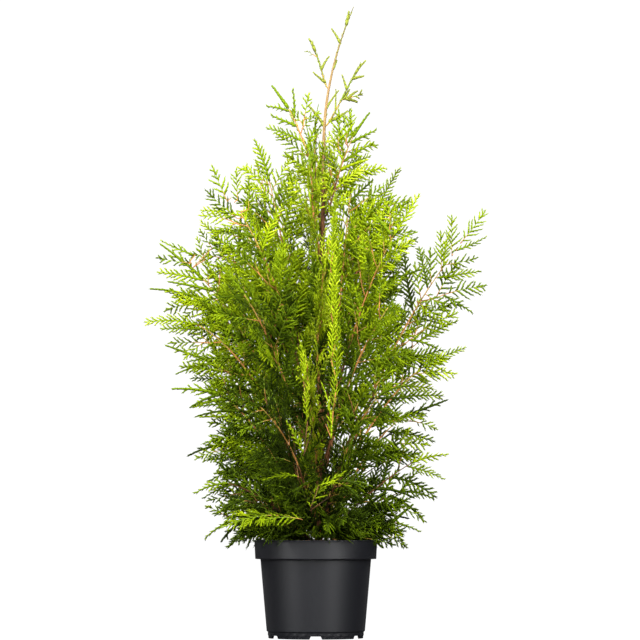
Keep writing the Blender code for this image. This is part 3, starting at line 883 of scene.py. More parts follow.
class Path:
    """A limb's centre line, read by its share of length from the trunk to the tip."""

    def __init__(self, limb: Limb, sway: float, trunk: Trunk, bark: BVHTree, rule: GrowthRule) -> None:
        """Work out the centre line.

        Args:
            limb: The limb.
            sway: How far it swings to one side, as a share of its span.
            trunk: The trunk's form.
            bark: The trunk's solid.
            rule: The growth rule.
        """
        azimuth = math.radians(limb.azimuth)
        self.out = Vector((math.cos(azimuth), math.sin(azimuth), 0))
        self.aside = Vector((-self.out.y, self.out.x, 0))
        middle = trunk.point(limb.foot)
        start = middle + self.out * (self.bark_beside(limb, middle, bark, rule) + rule.gap)
        end = self.out * limb.reach + UP * limb.top
        span = (end - start).length
        leave = self.heading(limb.rise) * span * rule.root_handle
        arrive = self.heading(limb.nod) * span * rule.tip_handle
        controls = (start, start + leave, end - arrive, end)
        self.samples = []
        for i in range(PATH_STEPS + 1):
            t = i / PATH_STEPS
            weights = ((1 - t) ** 3, 3 * t * (1 - t) ** 2, 3 * t * t * (1 - t), t**3)
            point = sum((c * w for c, w in zip(controls, weights)), Vector())
            self.samples.append(point + self.aside * sway * span * math.sin(math.pi * t) ** 2)
        steps = [(b - a).length for a, b in zip(self.samples, self.samples[1:])]
        self.lengths = np.concatenate(((0.0,), np.cumsum(steps)))
        self.length = float(self.lengths[-1])

    def bark_beside(self, limb: Limb, middle: Vector, bark: BVHTree, rule: GrowthRule) -> float:
        """How far the trunk's surface stands out, over the height and width of the limb's root.

        Args:
            limb: The limb.
            middle: Centre of the trunk at the limb's foot.
            bark: The trunk's solid.
            rule: The growth rule.

        Returns:
            The distance from the trunk's centre.
        """
        width = rule.root_radius(limb)
        height = width / math.cos(math.radians(limb.rise))
        found, shares = [], (-1, -0.5, 0, 0.5, 1)
        for along in shares:
            for across in shares:
                target = middle + UP * (along * height) + self.aside * (across * width)
                hit = bark.ray_cast(target + self.out * 0.1, -self.out)[0]
                if hit:
                    found.append((hit - middle).dot(self.out))
        return max(found)

    def heading(self, degrees: float) -> Vector:
        """Unit vector outwards at an angle above level."""
        angle = math.radians(degrees)
        return self.out * math.cos(angle) + UP * math.sin(angle)

    def point(self, share: float) -> Vector:
        """Find a place on the centre line.

        Args:
            share: The place, as a share of the line's length.

        Returns:
            The point there.
        """
        at = share * self.length
        i = min(int(np.searchsorted(self.lengths, at, side="right")) - 1, len(self.samples) - 2)
        within = (at - self.lengths[i]) / (self.lengths[i + 1] - self.lengths[i])
        return self.samples[i].lerp(self.samples[i + 1], float(within))

    def tangent(self, share: float) -> Vector:
        """Direction of growth at a share of its length."""
        low, high = max(0.0, share - 0.01), min(1.0, share + 0.01)
        return (self.point(high) - self.point(low)).normalized()


# Fronds


class Pattern(NamedTuple):
    """The meshes of one frond, in units of its own length: along X, across Y, face to Z."""

    leaf_points: np.ndarray
    leaf_triangles: np.ndarray
    leaf_tones: np.ndarray  # 0, 1 or 2 for the darker, middle and paler branchlets
    rib_points: np.ndarray
    rib_triangles: np.ndarray
    outline: np.ndarray  # the ends of its branchlets, to test what it would touch


class Habit(Enum):
    """How a frond grows: a full flat feather, a narrow spire, or a long whip with few side shoots."""

    FEATHER = "feather"
    SPIRE = "spire"
    WHIP = "whip"


@dataclass(frozen=True)
class FrondShape:
    """A flat frond: branchlets on alternate sides of a rib, each a scaly cord with forward teeth."""

    branchlets: int
    seed: int
    habit: Habit = Habit.FEATHER
    spacing: float = 0.0059
    widest: float = 0.31
    widest_at: float = 0.26
    root_width: float = 0.60
    tip_fall: float = 0.74
    cord_width: float = 0.0038
    cord_end: float = 0.46
    cord_thick: float = 0.0012
    tooth_length: float = 0.0052
    tooth_width: float = 0.0034
    tooth_thick: float = 0.0010
    tooth_spacing: float = 0.0032
    spire_width: float = 0.20
    spire_spacing: float = 0.0035
    axis: tuple[float, float] = (0.0040, 0.0022)
    link: float = 0.0066
    forked_from: float = 0.0270
    sweep: float = 1.1
    rib_radius: float = 0.0008
    rib_tip_radius: float = 0.0004
    whip_cord: tuple[float, float] = (0.0056, 0.0042)
    whip_tooth: tuple[float, float] = (0.0038, 0.0028)
    whip_tooth_length: float = 0.0070
    whip_tooth_spacing: float = 0.0044
    whip_shoot_spacing: float = 0.012
    bare_whip: float = 0.050  # a shorter whip has no side shoots
    shortest_branchlet: float = 0.0085

    @property
    def length(self) -> float:
        """The real length that this shape is drawn for."""
        return self.branchlets * self.spacing

    def reach(self, share: float) -> float:
        """Find the length of a branchlet.

        Args:
            share: Its place, as a share of the rib.

        Returns:
            The length, as a share of the frond's.
        """
        if share < self.widest_at:
            return self.widest * (self.root_width + (1 - self.root_width) * share / self.widest_at)
        beyond = (share - self.widest_at) / (1 - self.widest_at)
        return self.widest * (1 - self.tip_fall * beyond**1.5)

    @staticmethod
    def shoot(
        work: bmesh.types.BMesh,
        root: Vector,
        ahead: Vector,
        size: tuple[float, float, float],
        end: float,
        sides: int,
    ) -> None:
        """Add one flat tapering shoot that lies in the frond's plane.

        Args:
            work: The bmesh that it is added to.
            root: Where it starts.
            ahead: Its direction.
            size: Its length, width and thickness.
            end: Its width at the end, as a share; 0 for a point.
            sides: 3 or 4 sides.
        """
        length, width, thick = size
        across = UP.cross(ahead).normalized()
        turn = Matrix((across, ahead.cross(across), ahead)).transposed().to_4x4()
        grow = Matrix.Diagonal((width / 2, thick / 2, 1, 1))
        place = Matrix.Translation(root + ahead * length / 2) @ turn @ grow
        bmesh.ops.create_cone(
            work, cap_ends=True, segments=sides, radius1=1.0, radius2=end, depth=length, matrix=place
        )

    def branchlet(
        self, work: bmesh.types.BMesh, dice: random.Random, root: Vector, ahead: Vector, length: float
    ) -> None:
        """Add one branchlet: a cord with a pointed end and teeth on alternate sides.

        Args:
            work: The bmesh that it is added to.
            dice: The random source.
            root: Where it leaves the rib.
            ahead: Its direction.
            length: Its length.
        """
        width = self.cord_width * min(1.0, 0.55 + length / 0.04)
        first = len(work.faces)
        self.shoot(work, root, ahead, (length * 0.88, width, self.cord_thick), self.cord_end, 4)
        count = max(1, int(length * 0.80 / self.tooth_spacing))
        sign = dice.choice((-1, 1))
        for i in range(count):
            share = 0.12 + 0.74 * (i + 0.5) / count
            turned = Matrix.Rotation(math.radians(dice.uniform(26, 36)) * sign, 3, "Z") @ ahead
            turned.z += dice.uniform(-0.15, 0.15)
            turned.normalize()
            where = root + ahead * length * share
            if length > self.forked_from and 0.25 < share < 0.52:
                self.branchlet(work, dice, where, turned, length * 0.46)
            else:
                long = self.tooth_length * (1.06 - 0.30 * share) * dice.uniform(0.85, 1.15)
                self.shoot(work, where, turned, (long, self.tooth_width, self.tooth_thick), 0.0, 3)
            sign = -sign
        end = root + ahead * length * 0.80
        size = (length * 0.20 + 0.002, self.tooth_width * 0.7, self.tooth_thick)
        self.shoot(work, end, ahead, size, 0.0, 3)
        self.tone(work, dice, first, (root.x + length * 0.7) / self.length)

    @staticmethod
    def tone(work: bmesh.types.BMesh, dice: random.Random, first: int, outer: float) -> None:
        """Number a new branchlet's faces by its tone: paler towards the frond's tip, and by chance.

        Args:
            work: The bmesh that it is in.
            dice: The random source.
            first: The number of its first face.
            outer: How far out it stands, as a share of the frond's length.
        """
        tone = round(min(2.0, max(0.0, 0.25 + 1.2 * outer + dice.uniform(-0.8, 0.8))))
        work.faces.ensure_lookup_table()
        for face in work.faces[first:]:
            face.material_index = tone

    def feather(self, work: bmesh.types.BMesh, dice: random.Random) -> list[Vector]:
        """Add the branchlets of a full frond.

        Args:
            work: The bmesh that they are added to.
            dice: The random source.

        Returns:
            Their ends.
        """
        ends = []
        tip = dice.uniform(0.16, 0.28)
        sign = dice.choice((-1, 1))
        for i in range(self.branchlets):
            step = i + dice.uniform(-0.3, 0.3) * (i > 0)
            share = 0.08 + (1.0 - tip - 0.06) * step / (self.branchlets - 1)
            long = max(0.006, self.reach(share) * self.length) * dice.uniform(0.60, 1.20)
            angle = math.radians(56 - 14 * share + dice.uniform(-12, 12)) * sign
            ahead = Matrix.Rotation(angle, 3, "Z") @ Vector((1, 0, dice.uniform(-0.28, 0.28)))
            ahead.normalize()
            root = Vector((share * self.length, 0, 0))
            self.branchlet(work, dice, root, ahead, long)
            ends.append(root + ahead * long)
            sign = -sign
        start = Vector(((0.92 - tip) * self.length, 0, 0))
        self.branchlet(work, dice, start, ALONG, (tip + 0.08) * self.length)
        return ends

    def chain(
        self, work: bmesh.types.BMesh, first: float, last: float, size: tuple[float, float], end: float
    ) -> None:
        """Add a scaly cord along the rib: links that widen outwards, each set in the one before.

        Args:
            work: The bmesh that it is added to.
            first: Where it starts, as a share of the length.
            last: Where it ends.
            size: Its width and thickness.
            end: Its width at the end, as a share.
        """
        count = max(2, round((last - first) * self.length / self.link))
        step = (last - first) * self.length / count
        for i in range(count):
            width, thick = (value * (1 - (1 - end) * i / (count - 1)) for value in size)
            root = ALONG * (first * self.length + step * i - 0.0008)
            self.shoot(work, root, ALONG, (step * 1.2, width * 0.82, thick * 0.9), 1.22, 4)

    def spire(self, work: bmesh.types.BMesh, dice: random.Random) -> list[Vector]:
        """Add the thick scaly cord and the short side shoots of a narrow, pointed frond.

        Args:
            work: The bmesh that they are added to.
            dice: The random source.

        Returns:
            The ends of its side shoots.
        """
        ends = []
        self.chain(work, 0.05, 0.93, self.axis, 0.46)
        tip = Vector((0.90 * self.length, 0, 0))
        self.shoot(work, tip, ALONG, (0.10 * self.length, 0.0030, 0.0014), 0.0, 3)
        sign = dice.choice((-1, 1))
        count = round(0.84 * self.length / self.spire_spacing)
        for i in range(count):
            share = 0.08 + 0.84 * i / (count - 1)
            full = self.length * self.spire_width * self.reach(share) / self.widest
            long = full * dice.uniform(0.72, 1.20)
            angle = math.radians(48 - 12 * share + dice.uniform(-8, 8)) * sign
            ahead = Matrix.Rotation(angle, 3, "Z") @ Vector((1, 0, dice.uniform(-0.15, 0.15)))
            ahead.normalize()
            root = Vector((share * self.length, 0, 0))
            if long > self.shortest_branchlet:
                self.branchlet(work, dice, root, ahead, long)
            else:
                first = len(work.faces)
                self.shoot(work, root, ahead, (max(0.005, long), self.tooth_width, self.tooth_thick), 0.0, 3)
                self.tone(work, dice, first, share)
            ends.append(root + ahead * long)
            sign = -sign
        return ends

    def whip(self, work: bmesh.types.BMesh, dice: random.Random) -> list[Vector]:
        """Add the scaly cord and the few side shoots of a whip.

        Args:
            work: The bmesh that they are added to.
            dice: The random source.

        Returns:
            The ends of its side shoots.
        """
        ends = []
        self.chain(work, 0.0, 0.95, self.whip_cord, 0.46)
        self.shoot(work, ALONG * (0.93 * self.length), ALONG, (0.07 * self.length, 0.0024, 0.0018), 0.0, 3)
        teeth = int(self.length / self.whip_tooth_spacing)
        sign = dice.choice((-1, 1))
        for i in range(teeth):
            where = ALONG * (self.length * (0.05 + 0.90 * i / teeth))
            turned = Matrix.Rotation(math.radians(dice.uniform(14, 24)) * sign, 3, "Z") @ ALONG
            size = (self.whip_tooth_length * (1.1 - 0.4 * i / teeth), *self.whip_tooth)
            self.shoot(work, where, turned, size, 0.0, 3)
            sign = -sign
        shoots = 0 if self.length < self.bare_whip else round(self.length / self.whip_shoot_spacing)
        for i in range(shoots):
            share = 0.08 + 0.56 * i / (shoots - 1) + dice.uniform(-0.02, 0.02)
            long = self.length * 0.24 * (1.1 - share) * dice.uniform(0.7, 1.3)
            turned = Matrix.Rotation(math.radians(dice.uniform(26, 40)) * sign, 3, "Z") @ ALONG
            turned.z += dice.uniform(-0.2, 0.2)
            turned.normalize()
            root = ALONG * (share * self.length)
            self.branchlet(work, dice, root, turned, max(0.009, long))
            ends.append(root + turned * long)
            sign = -sign
        return ends

    def build(self) -> Pattern:
        """Draw the frond once.

        Returns:
            Its meshes, scaled to a length of 1.
        """
        dice = random.Random(self.seed)
        leaves, ribs = bmesh.new(), bmesh.new()
        grow = {Habit.FEATHER: self.feather, Habit.SPIRE: self.spire, Habit.WHIP: self.whip}[self.habit]
        outline = np.array([Vector((self.length, 0, 0)), *grow(leaves, dice)]) / self.length
        bmesh.ops.create_cone(
            ribs,
            cap_ends=True,
            segments=4,
            radius1=self.rib_radius,
            radius2=self.rib_tip_radius,
            depth=0.9 * self.length,
            matrix=Matrix.Translation((0.44 * self.length, 0, 0)) @ Matrix.Rotation(math.pi / 2, 4, "Y"),
        )
        lengthways = [e for e in ribs.edges if abs((e.verts[0].co - e.verts[1].co).x) > 0.5 * self.length]
        bmesh.ops.subdivide_edges(ribs, edges=lengthways, cuts=5)
        return Pattern(*self.arrays(leaves), *self.arrays(ribs)[:2], self.swept(outline))

    def swept(self, points: np.ndarray) -> np.ndarray:
        """Curve the branchlets forwards, the more the further out they reach.

        Args:
            points: Corners in units of the frond's length.

        Returns:
            The curved corners.
        """
        points = points.copy()
        points[:, 0] += self.sweep * points[:, 1] ** 2
        return points

    def arrays(self, work: bmesh.types.BMesh) -> tuple[np.ndarray, np.ndarray, np.ndarray]:
        """Read a bmesh as corners in units of the frond's length, triangles and their tones."""
        points, triangles, tones = triangles_of(work)
        return self.swept(points / self.length), triangles, tones


@dataclass
class Frond:
    """Where one frond grows and how it bends."""

    root: Vector
    ahead: Vector
    side: Vector
    length: float
    bend: Vector
    width: float
    cup: float

    def place(self, points: np.ndarray) -> np.ndarray:
        """Bend a pattern's corners along this frond.

        Args:
            points: Corners in units of the frond's length.

        Returns:
            The corners in the scene.
        """
        along, across, up = points[:, :1], points[:, 1:2] * self.width, points[:, 2:]
        ahead, side, bend = (np.array(v)[None] for v in (self.ahead, self.side, self.bend))
        tangent = ahead + 2 * along * bend
        tangent /= np.linalg.norm(tangent, axis=1, keepdims=True)
        sideways = side - tangent * (side * tangent).sum(axis=1, keepdims=True)
        sideways /= np.linalg.norm(sideways, axis=1, keepdims=True)
        face = np.cross(tangent, sideways)
        middle = ahead * along + bend * along**2
        cupped = up - self.cup * across**2
        return np.array(self.root)[None] + self.length * (middle + sideways * across + face * cupped)


class Spot(NamedTuple):
    """A place on a line of growth where something can leave it."""

    root: Vector
    ahead: Vector  # the direction of growth
    side: Vector  # the direction that branchlets open to


class Twig(NamedTuple):
    """One tapering twig, with its finish at each end."""

    centres: list[Vector]
    radii: tuple[float, float]
    woods: tuple[Wood, Wood]
    node: str

    def radius(self, ring: int) -> float:
        """Find the radius at one of its centres.

        Args:
            ring: The centre's number.

        Returns:
            The radius, with slight knots between the ends.
        """
        last = len(self.centres) - 1
        knot = 1 + (0.10 * math.sin(5.1 * ring) if 0 < ring < last else 0)
        return (self.radii[0] + (self.radii[1] - self.radii[0]) * ring / last) * knot

    def arrays(self, sides: int) -> tuple[np.ndarray, np.ndarray, np.ndarray]:
        """Sweep a closed tapering tube along the twig.

        Args:
            sides: How many sides it has.

        Returns:
            Its corners, its triangles and the number of each triangle's wood.
        """
        last = len(self.centres) - 1
        ages = [1 - ring / last for ring in range(last + 1)]
        work = bmesh.new()
        BarkSweep(sides, 0.0).sweep(work, self.centres, [self.radius(i) for i in range(last + 1)], ages)
        layer = work.verts.layers.float["age"]
        order = list(Wood)
        old, young = order.index(self.woods[0]), order.index(self.woods[1])
        for face in work.faces:
            rings = [round((1 - vert[layer]) * last) for vert in face.verts]
            middle = (min(rings) + max(rings)) / 2
            face.material_index = round(old + (young - old) * middle / last)
        return triangles_of(work)


Triple = tuple[float, float, float]


class PlacedShoot(NamedTuple):
    """One frond with a place of its own: bright in front of the others, or on the crown's outline."""

    limb: str  # the mass it belongs to
    habit: Habit
    green: Green
    length: float
    root: Triple
    ahead: Triple
    side: Triple
    bend: Triple

    @classmethod
    def in_front(
        cls, limb: str, *rows: tuple[Habit, Green, float, Triple, Triple, Triple, Triple]
    ) -> list["PlacedShoot"]:
        """List a mass's bright fronds, from rows of all the other fields."""
        return [cls(limb, *row) for row in rows]

    @classmethod
    def at_edge(
        cls, limb: str, *rows: tuple[Habit, Green, float, Triple, tuple[float, float], float, float]
    ) -> list["PlacedShoot"]:
        """List a mass's fronds on the outline, which show their flat sides to the front.

        Args:
            limb: The mass.
            rows: Habit, green, length, root, the direction to the right and upwards, how far the side
                direction turns to the back, and how much the end bends upwards.

        Returns:
            The shoots.
        """
        return [
            cls(limb, habit, green, length, root, (right, 0, up), (up, tilt, -right), (0, 0, rise))
            for habit, green, length, root, (right, up), tilt, rise in rows
        ]

    def frond(self) -> Frond:
        """Work out where it grows and how it bends.

        Returns:
            The frond.
        """
        ahead, side, bend = Vector(self.ahead).normalized(), Vector(self.side), Vector(self.bend)
        side = (side - ahead * side.dot(ahead)).normalized()
        width = 0.9 if self.habit is Habit.FEATHER else 0.7
        return Frond(Vector(self.root), ahead, side, self.length, bend - ahead * bend.dot(ahead), width, 0.5)


FEATHER, SPIRE, WHIP = Habit
DARK, MIDDLE, FRESH, BRIGHT = Green.DARK, Green.MIDDLE, Green.FRESH, Green.BRIGHT
PLACED_SHOOTS = (
    # habit, green, length, root, ahead, side, bend
    *PlacedShoot.in_front(
        "front_left_foot",
        (FEATHER, FRESH, 0.070, (-0.020, -0.098, 0.180), (-1, -0.2, 0.3), (0, -1, -0.8), (0, 0, -0.4)),
        (FEATHER, FRESH, 0.098, (-0.048, -0.096, 0.186), (-1, -0.3, 0.1), (0, -1, -0.7), (0, 0, -0.3)),
    ),
    *PlacedShoot.in_front(
        "front_foot",
        (FEATHER, FRESH, 0.068, (-0.008, -0.104, 0.194), (0.1, -0.3, 1), (0.8, -0.9, 0), (0.7, 0, -0.2)),
        (SPIRE, BRIGHT, 0.044, (0.004, -0.116, 0.230), (0.8, -0.3, 0.5), (0.4, -1, -0.4), (0.2, 0, -0.6)),
    ),
    *PlacedShoot.in_front(
        "front_left_low",
        (SPIRE, FRESH, 0.052, (-0.026, -0.108, 0.244), (-1, -0.3, 0.3), (0, -0.5, 1), (-0.1, 0, -0.4)),
    ),
    *PlacedShoot.in_front(
        "front_mid",
        (SPIRE, FRESH, 0.060, (-0.018, -0.122, 0.276), (-0.3, -0.3, 0.9), (1, 0, 0.3), (-0.2, 0, 0.1)),
        (SPIRE, BRIGHT, 0.070, (-0.012, -0.132, 0.326), (-0.15, -0.1, 1), (0.8, 0.7, 0), (0.2, 0, 0)),
        (SPIRE, BRIGHT, 0.066, (-0.018, -0.134, 0.384), (0.1, 0, 1), (0.8, -0.7, 0), (-0.2, 0.1, 0)),
    ),
    *PlacedShoot.in_front(
        "front_high",
        (WHIP, BRIGHT, 0.084, (0.023, -0.130, 0.302), (0.1, -0.1, 1), (0.8, 0.6, 0), (-0.3, 0.1, 0)),
        (SPIRE, FRESH, 0.076, (0.026, -0.128, 0.342), (0.1, 0, 1), (0.8, -0.6, 0), (-0.1, 0, 0)),
        (SPIRE, FRESH, 0.088, (0.032, -0.127, 0.384), (-0.05, 0, 1), (0.9, 0.4, 0), (0.1, 0, 0)),
        (SPIRE, BRIGHT, 0.094, (0.023, -0.126, 0.418), (0.07, 0, 1), (0.9, -0.4, 0), (0, 0, 0)),
        (SPIRE, FRESH, 0.096, (0.032, -0.125, 0.452), (-0.02, 0, 1), (0.9, 0.4, 0), (0, 0, 0)),
        (SPIRE, BRIGHT, 0.096, (0.023, -0.123, 0.486), (0.05, 0, 1), (0.9, -0.4, 0), (0, 0, 0)),
        (SPIRE, FRESH, 0.094, (0.031, -0.120, 0.520), (-0.02, 0.05, 1), (0.9, 0.4, 0), (0.1, 0, 0)),
        (SPIRE, BRIGHT, 0.090, (0.022, -0.116, 0.554), (0.06, 0.1, 1), (0.9, -0.4, 0), (0, 0.1, 0)),
        (SPIRE, FRESH, 0.084, (0.028, -0.110, 0.590), (0.02, 0.1, 1), (0.8, 0.7, 0), (0, 0.1, 0)),
    ),
    # habit, green, length, root, heading, tilt, rise
    *PlacedShoot.at_edge(
        "right_wide",
        (FEATHER, MIDDLE, 0.058, (0.176, 0.004, 0.538), (-0.03, 1.00), 0.4, 0.1),
        (FEATHER, FRESH, 0.063, (0.192, 0.006, 0.559), (-0.02, 1.00), -0.3, 0.1),
        (FEATHER, MIDDLE, 0.051, (0.199, 0.010, 0.569), (0.99, 0.12), 0.3, 0.1),
        (FEATHER, FRESH, 0.064, (0.208, 0.008, 0.582), (0.00, 1.00), 0.3, 0.1),
        (SPIRE, FRESH, 0.054, (0.214, 0.010, 0.590), (0.94, 0.34), 0.3, 0.1),
        (FEATHER, FRESH, 0.065, (0.221, 0.012, 0.602), (0.66, 0.75), -0.3, 0.1),
    ),
    *PlacedShoot.at_edge(
        "left_high",
        (FEATHER, MIDDLE, 0.049, (-0.102, -0.030, 0.651), (0.00, 1.00), 0.3, 0.1),
        (FEATHER, FRESH, 0.049, (-0.119, -0.034, 0.665), (-0.04, 1.00), -0.3, 0.1),
        (FEATHER, FRESH, 0.061, (-0.134, -0.040, 0.662), (-0.43, 0.90), 0.3, 0.1),
        (FEATHER, DARK, 0.067, (-0.119, -0.040, 0.636), (-0.79, 0.61), 0.3, 0.1),
    ),
    *PlacedShoot.at_edge(
        "left_wide",
        (FEATHER, MIDDLE, 0.036, (-0.158, -0.010, 0.593), (-0.59, 0.81), -0.3, 0.1),
        (FEATHER, FRESH, 0.038, (-0.169, -0.012, 0.575), (-0.36, 0.93), 0.3, 0.1),
        (SPIRE, FRESH, 0.059, (-0.184, -0.012, 0.582), (-0.95, 0.31), 0.3, 0.1),
        (FEATHER, MIDDLE, 0.055, (-0.189, -0.014, 0.570), (-1.00, 0.06), -0.3, 0.1),
    ),
    *PlacedShoot.at_edge(
        "leader_right",
        (FEATHER, FRESH, 0.061, (0.034, -0.016, 0.745), (0.02, 1.00), 0.4, 0.1),
        (FEATHER, FRESH, 0.053, (0.045, -0.014, 0.753), (0.20, 0.98), -0.3, 0.1),
    ),
    *PlacedShoot.at_edge(
        "right_wide",
        (FEATHER, MIDDLE, 0.048, (0.167, -0.004, 0.523), (0.86, -0.51), -0.3, -0.2),
        (FEATHER, FRESH, 0.062, (0.154, -0.006, 0.512), (0.81, -0.59), 0.3, -0.1),
        (FEATHER, FRESH, 0.056, (0.160, -0.004, 0.518), (-0.19, 0.98), 0.3, 0.1),
    ),
)


# Crown


@dataclass
class Crown:
    """All that grows on the trunk: boughs, stems, twigs and fronds."""

    trunk: Trunk
    rule: GrowthRule = field(default_factory=GrowthRule)
    pot_lip: float = 0.0968
    pot_inside: float = 0.0880
    pot_height: float = 0.1505
    soil_top: float = 0.1370
    lowest: float = 0.1330
    branchlet_counts: tuple[int, ...] = (3, 5, 7, 9, 12, 15, 18, 21)
    variants: int = 4
    stem_marks: int = 25
    bright_masses: tuple[tuple[str, float], ...] = (("front_high", 0.014), ("front_mid", 0.011))
    bright_from: float = 0.42
    bright_marks: int = 40
    shoot_marks: int = 10
    shoot_clearance: float = 0.010
    veil: float = 0.004
    paths: list[Path] = field(init=False)
    patterns: dict[tuple[Habit, int, int], Pattern] = field(init=False)
    number: dict[str, int] = field(init=False)
    stem_points: np.ndarray = field(init=False)
    owners: np.ndarray = field(init=False)
    kept_clear: list[tuple[int, np.ndarray, float]] = field(default_factory=list)
    leaves: dict[Green, list[Batch]] = field(default_factory=lambda: {green: [Batch()] for green in Green})
    ribs: list[Batch] = field(default_factory=lambda: [Batch()])
    twigs: list[Twig] = field(default_factory=list)
    fronds: int = 0

    def prepare(self) -> None:
        """Work out the limbs' centre lines and draw the frond patterns."""
        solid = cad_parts["trunk"]
        mesh = solid.data
        bark = BVHTree.FromPolygons(
            [solid.matrix_world @ vert.co for vert in mesh.vertices],
            [tuple(polygon.vertices) for polygon in mesh.polygons],
        )
        dice, sway = random.Random(self.rule.seed), self.rule.sway
        self.paths = [Path(limb, dice.uniform(-sway, sway), self.trunk, bark, self.rule) for limb in LIMBS]
        self.number = {limb.name: index for index, limb in enumerate(LIMBS)}
        self.patterns = {
            (habit, count, variant): FrondShape(count, 31 * count + variant, habit).build()
            for habit in Habit
            for count in self.branchlet_counts
            for variant in range(self.variants)
        }
        self.mark_stems()
        self.clear_bright()

    def mark_stems(self) -> None:
        """Mark points along every stem, with the number of the limb that owns each."""
        points, owners = [], []
        for index, (path, limb) in enumerate(zip(self.paths, LIMBS)):
            for i in range(self.stem_marks):
                points.append(path.point(limb.bare + (1 - limb.bare) * i / (self.stem_marks - 1)))
                owners.append(index)
        self.stem_points, self.owners = np.array(points), np.array(owners)

    def clear_bright(self) -> None:
        """Keep the view of the bright masses and of the placed shoots clear."""
        for name, radius in self.bright_masses:
            path, last = self.paths[self.number[name]], self.bright_marks - 1
            shares = [self.bright_from + (1 - self.bright_from) * i / last for i in range(last + 1)]
            self.kept_clear.append((self.number[name], np.array([path.point(s) for s in shares]), radius))
        marks = np.array([(i / (self.shoot_marks - 1), 0, 0) for i in range(self.shoot_marks)])
        for shoot in PLACED_SHOOTS:
            self.kept_clear.append((-1, shoot.frond().place(marks), self.shoot_clearance))

    # Boughs

    def build_boughs(self, bark: bpy.types.Material) -> bpy.types.Object:
        """Sweep the bare boughs with the bark's relief.

        Args:
            bark: Their material.

        Returns:
            The piece that stands for all the boughs.
        """
        work = bmesh.new()
        names = []
        for limb, path in zip(LIMBS, self.paths):
            if not limb.bare:
                continue
            rule, last = self.rule, self.rule.bough_rings - 1
            base = rule.root_radius(limb)
            shares = [i / last for i in range(last + 1)]
            centres = [path.point(limb.bare * share) for share in shares]
            centres[0] = centres[0] - path.out * rule.bough_sink
            radii = [base + (rule.bough_tip_radius - base) * share for share in shares]
            aging = rule.bough_root_age - rule.bough_tip_age
            ages = [rule.bough_root_age - aging * share for share in shares]
            BarkSweep(rule.bough_sides, rule.bough_ridges).sweep(work, centres, radii, ages)
            names.append(f"bough_{limb.name}")
        mesh = mesh_from_bmesh("bough_bark", work)
        mesh.materials.append(bark)
        return piece_from_mesh(mesh, names)

    # Placing

    def owned(self, index: int, points: np.ndarray) -> bool:
        """Find whether points lie in a mass's own space.

        Args:
            index: The limb's number.
            points: The points.

        Returns:
            Whether its own stem is the nearest to all of them, give or take the slack.
        """
        gaps = np.linalg.norm(self.stem_points[None] - points[:, None], axis=2)
        own = gaps[:, self.owners == index].min(axis=1)
        other = gaps[:, self.owners != index].min(axis=1)
        return bool((own < other + self.rule.slack).all())

    def free(self, points: np.ndarray) -> bool:
        """Find whether points keep clear of the pot's rim, the soil and the lowest height.

        Args:
            points: The points.

        Returns:
            Whether all of them do.
        """
        radius = np.hypot(points[:, 0], points[:, 1])
        height = points[:, 2]
        over_pot = radius < self.pot_lip
        in_rim = over_pot & (radius > self.pot_inside) & (height < self.pot_height)
        in_soil = over_pot & (height < self.soil_top)
        return not bool((in_rim | in_soil | (height < self.lowest)).any())

    def veils(self, index: int, points: np.ndarray) -> bool:
        """Find whether points stand in front of what is kept clear.

        Args:
            index: The number of the limb that they belong to.
            points: The points.

        Returns:
            Whether one of them veils a bright mass or a placed shoot of another limb.
        """
        for owner, line, radius in self.kept_clear:
            if index == owner:
                continue
            gaps = np.hypot(points[:, None, 0] - line[None, :, 0], points[:, None, 2] - line[None, :, 2])
            if ((gaps < radius) & (points[:, None, 1] < line[None, :, 1] - self.veil)).any():
                return True
        return False

    def pattern_for(self, length: float, habit: Habit, dice: random.Random) -> Pattern:
        """Choose a frond pattern whose branchlets are at their real spacing.

        Args:
            length: The frond's length.
            habit: How it grows.
            dice: The random source.

        Returns:
            The pattern.
        """
        wanted = length / FrondShape.spacing
        count = min(self.branchlet_counts, key=lambda c: abs(c - wanted))
        return self.patterns[habit, count, dice.randrange(self.variants)]

    def habit_for(self, index: int, along: float, dice: random.Random) -> Habit:
        """Choose how a frond grows: whips and spires come more towards the outer ends of the limbs.

        Args:
            index: The limb's number.
            along: How far out on its stem the frond grows, as a share.
            dice: The random source.

        Returns:
            Its habit; on the leader's tip always a whip.
        """
        if LIMBS[index].name.startswith("leader_tip"):
            return Habit.WHIP
        spires = Lay.of(LIMBS[index]).spires + 0.26 * along
        draw = dice.random()
        whips = 0.05 + 0.18 * along**2
        return Habit.WHIP if draw < whips else Habit.SPIRE if draw < whips + spires else Habit.FEATHER

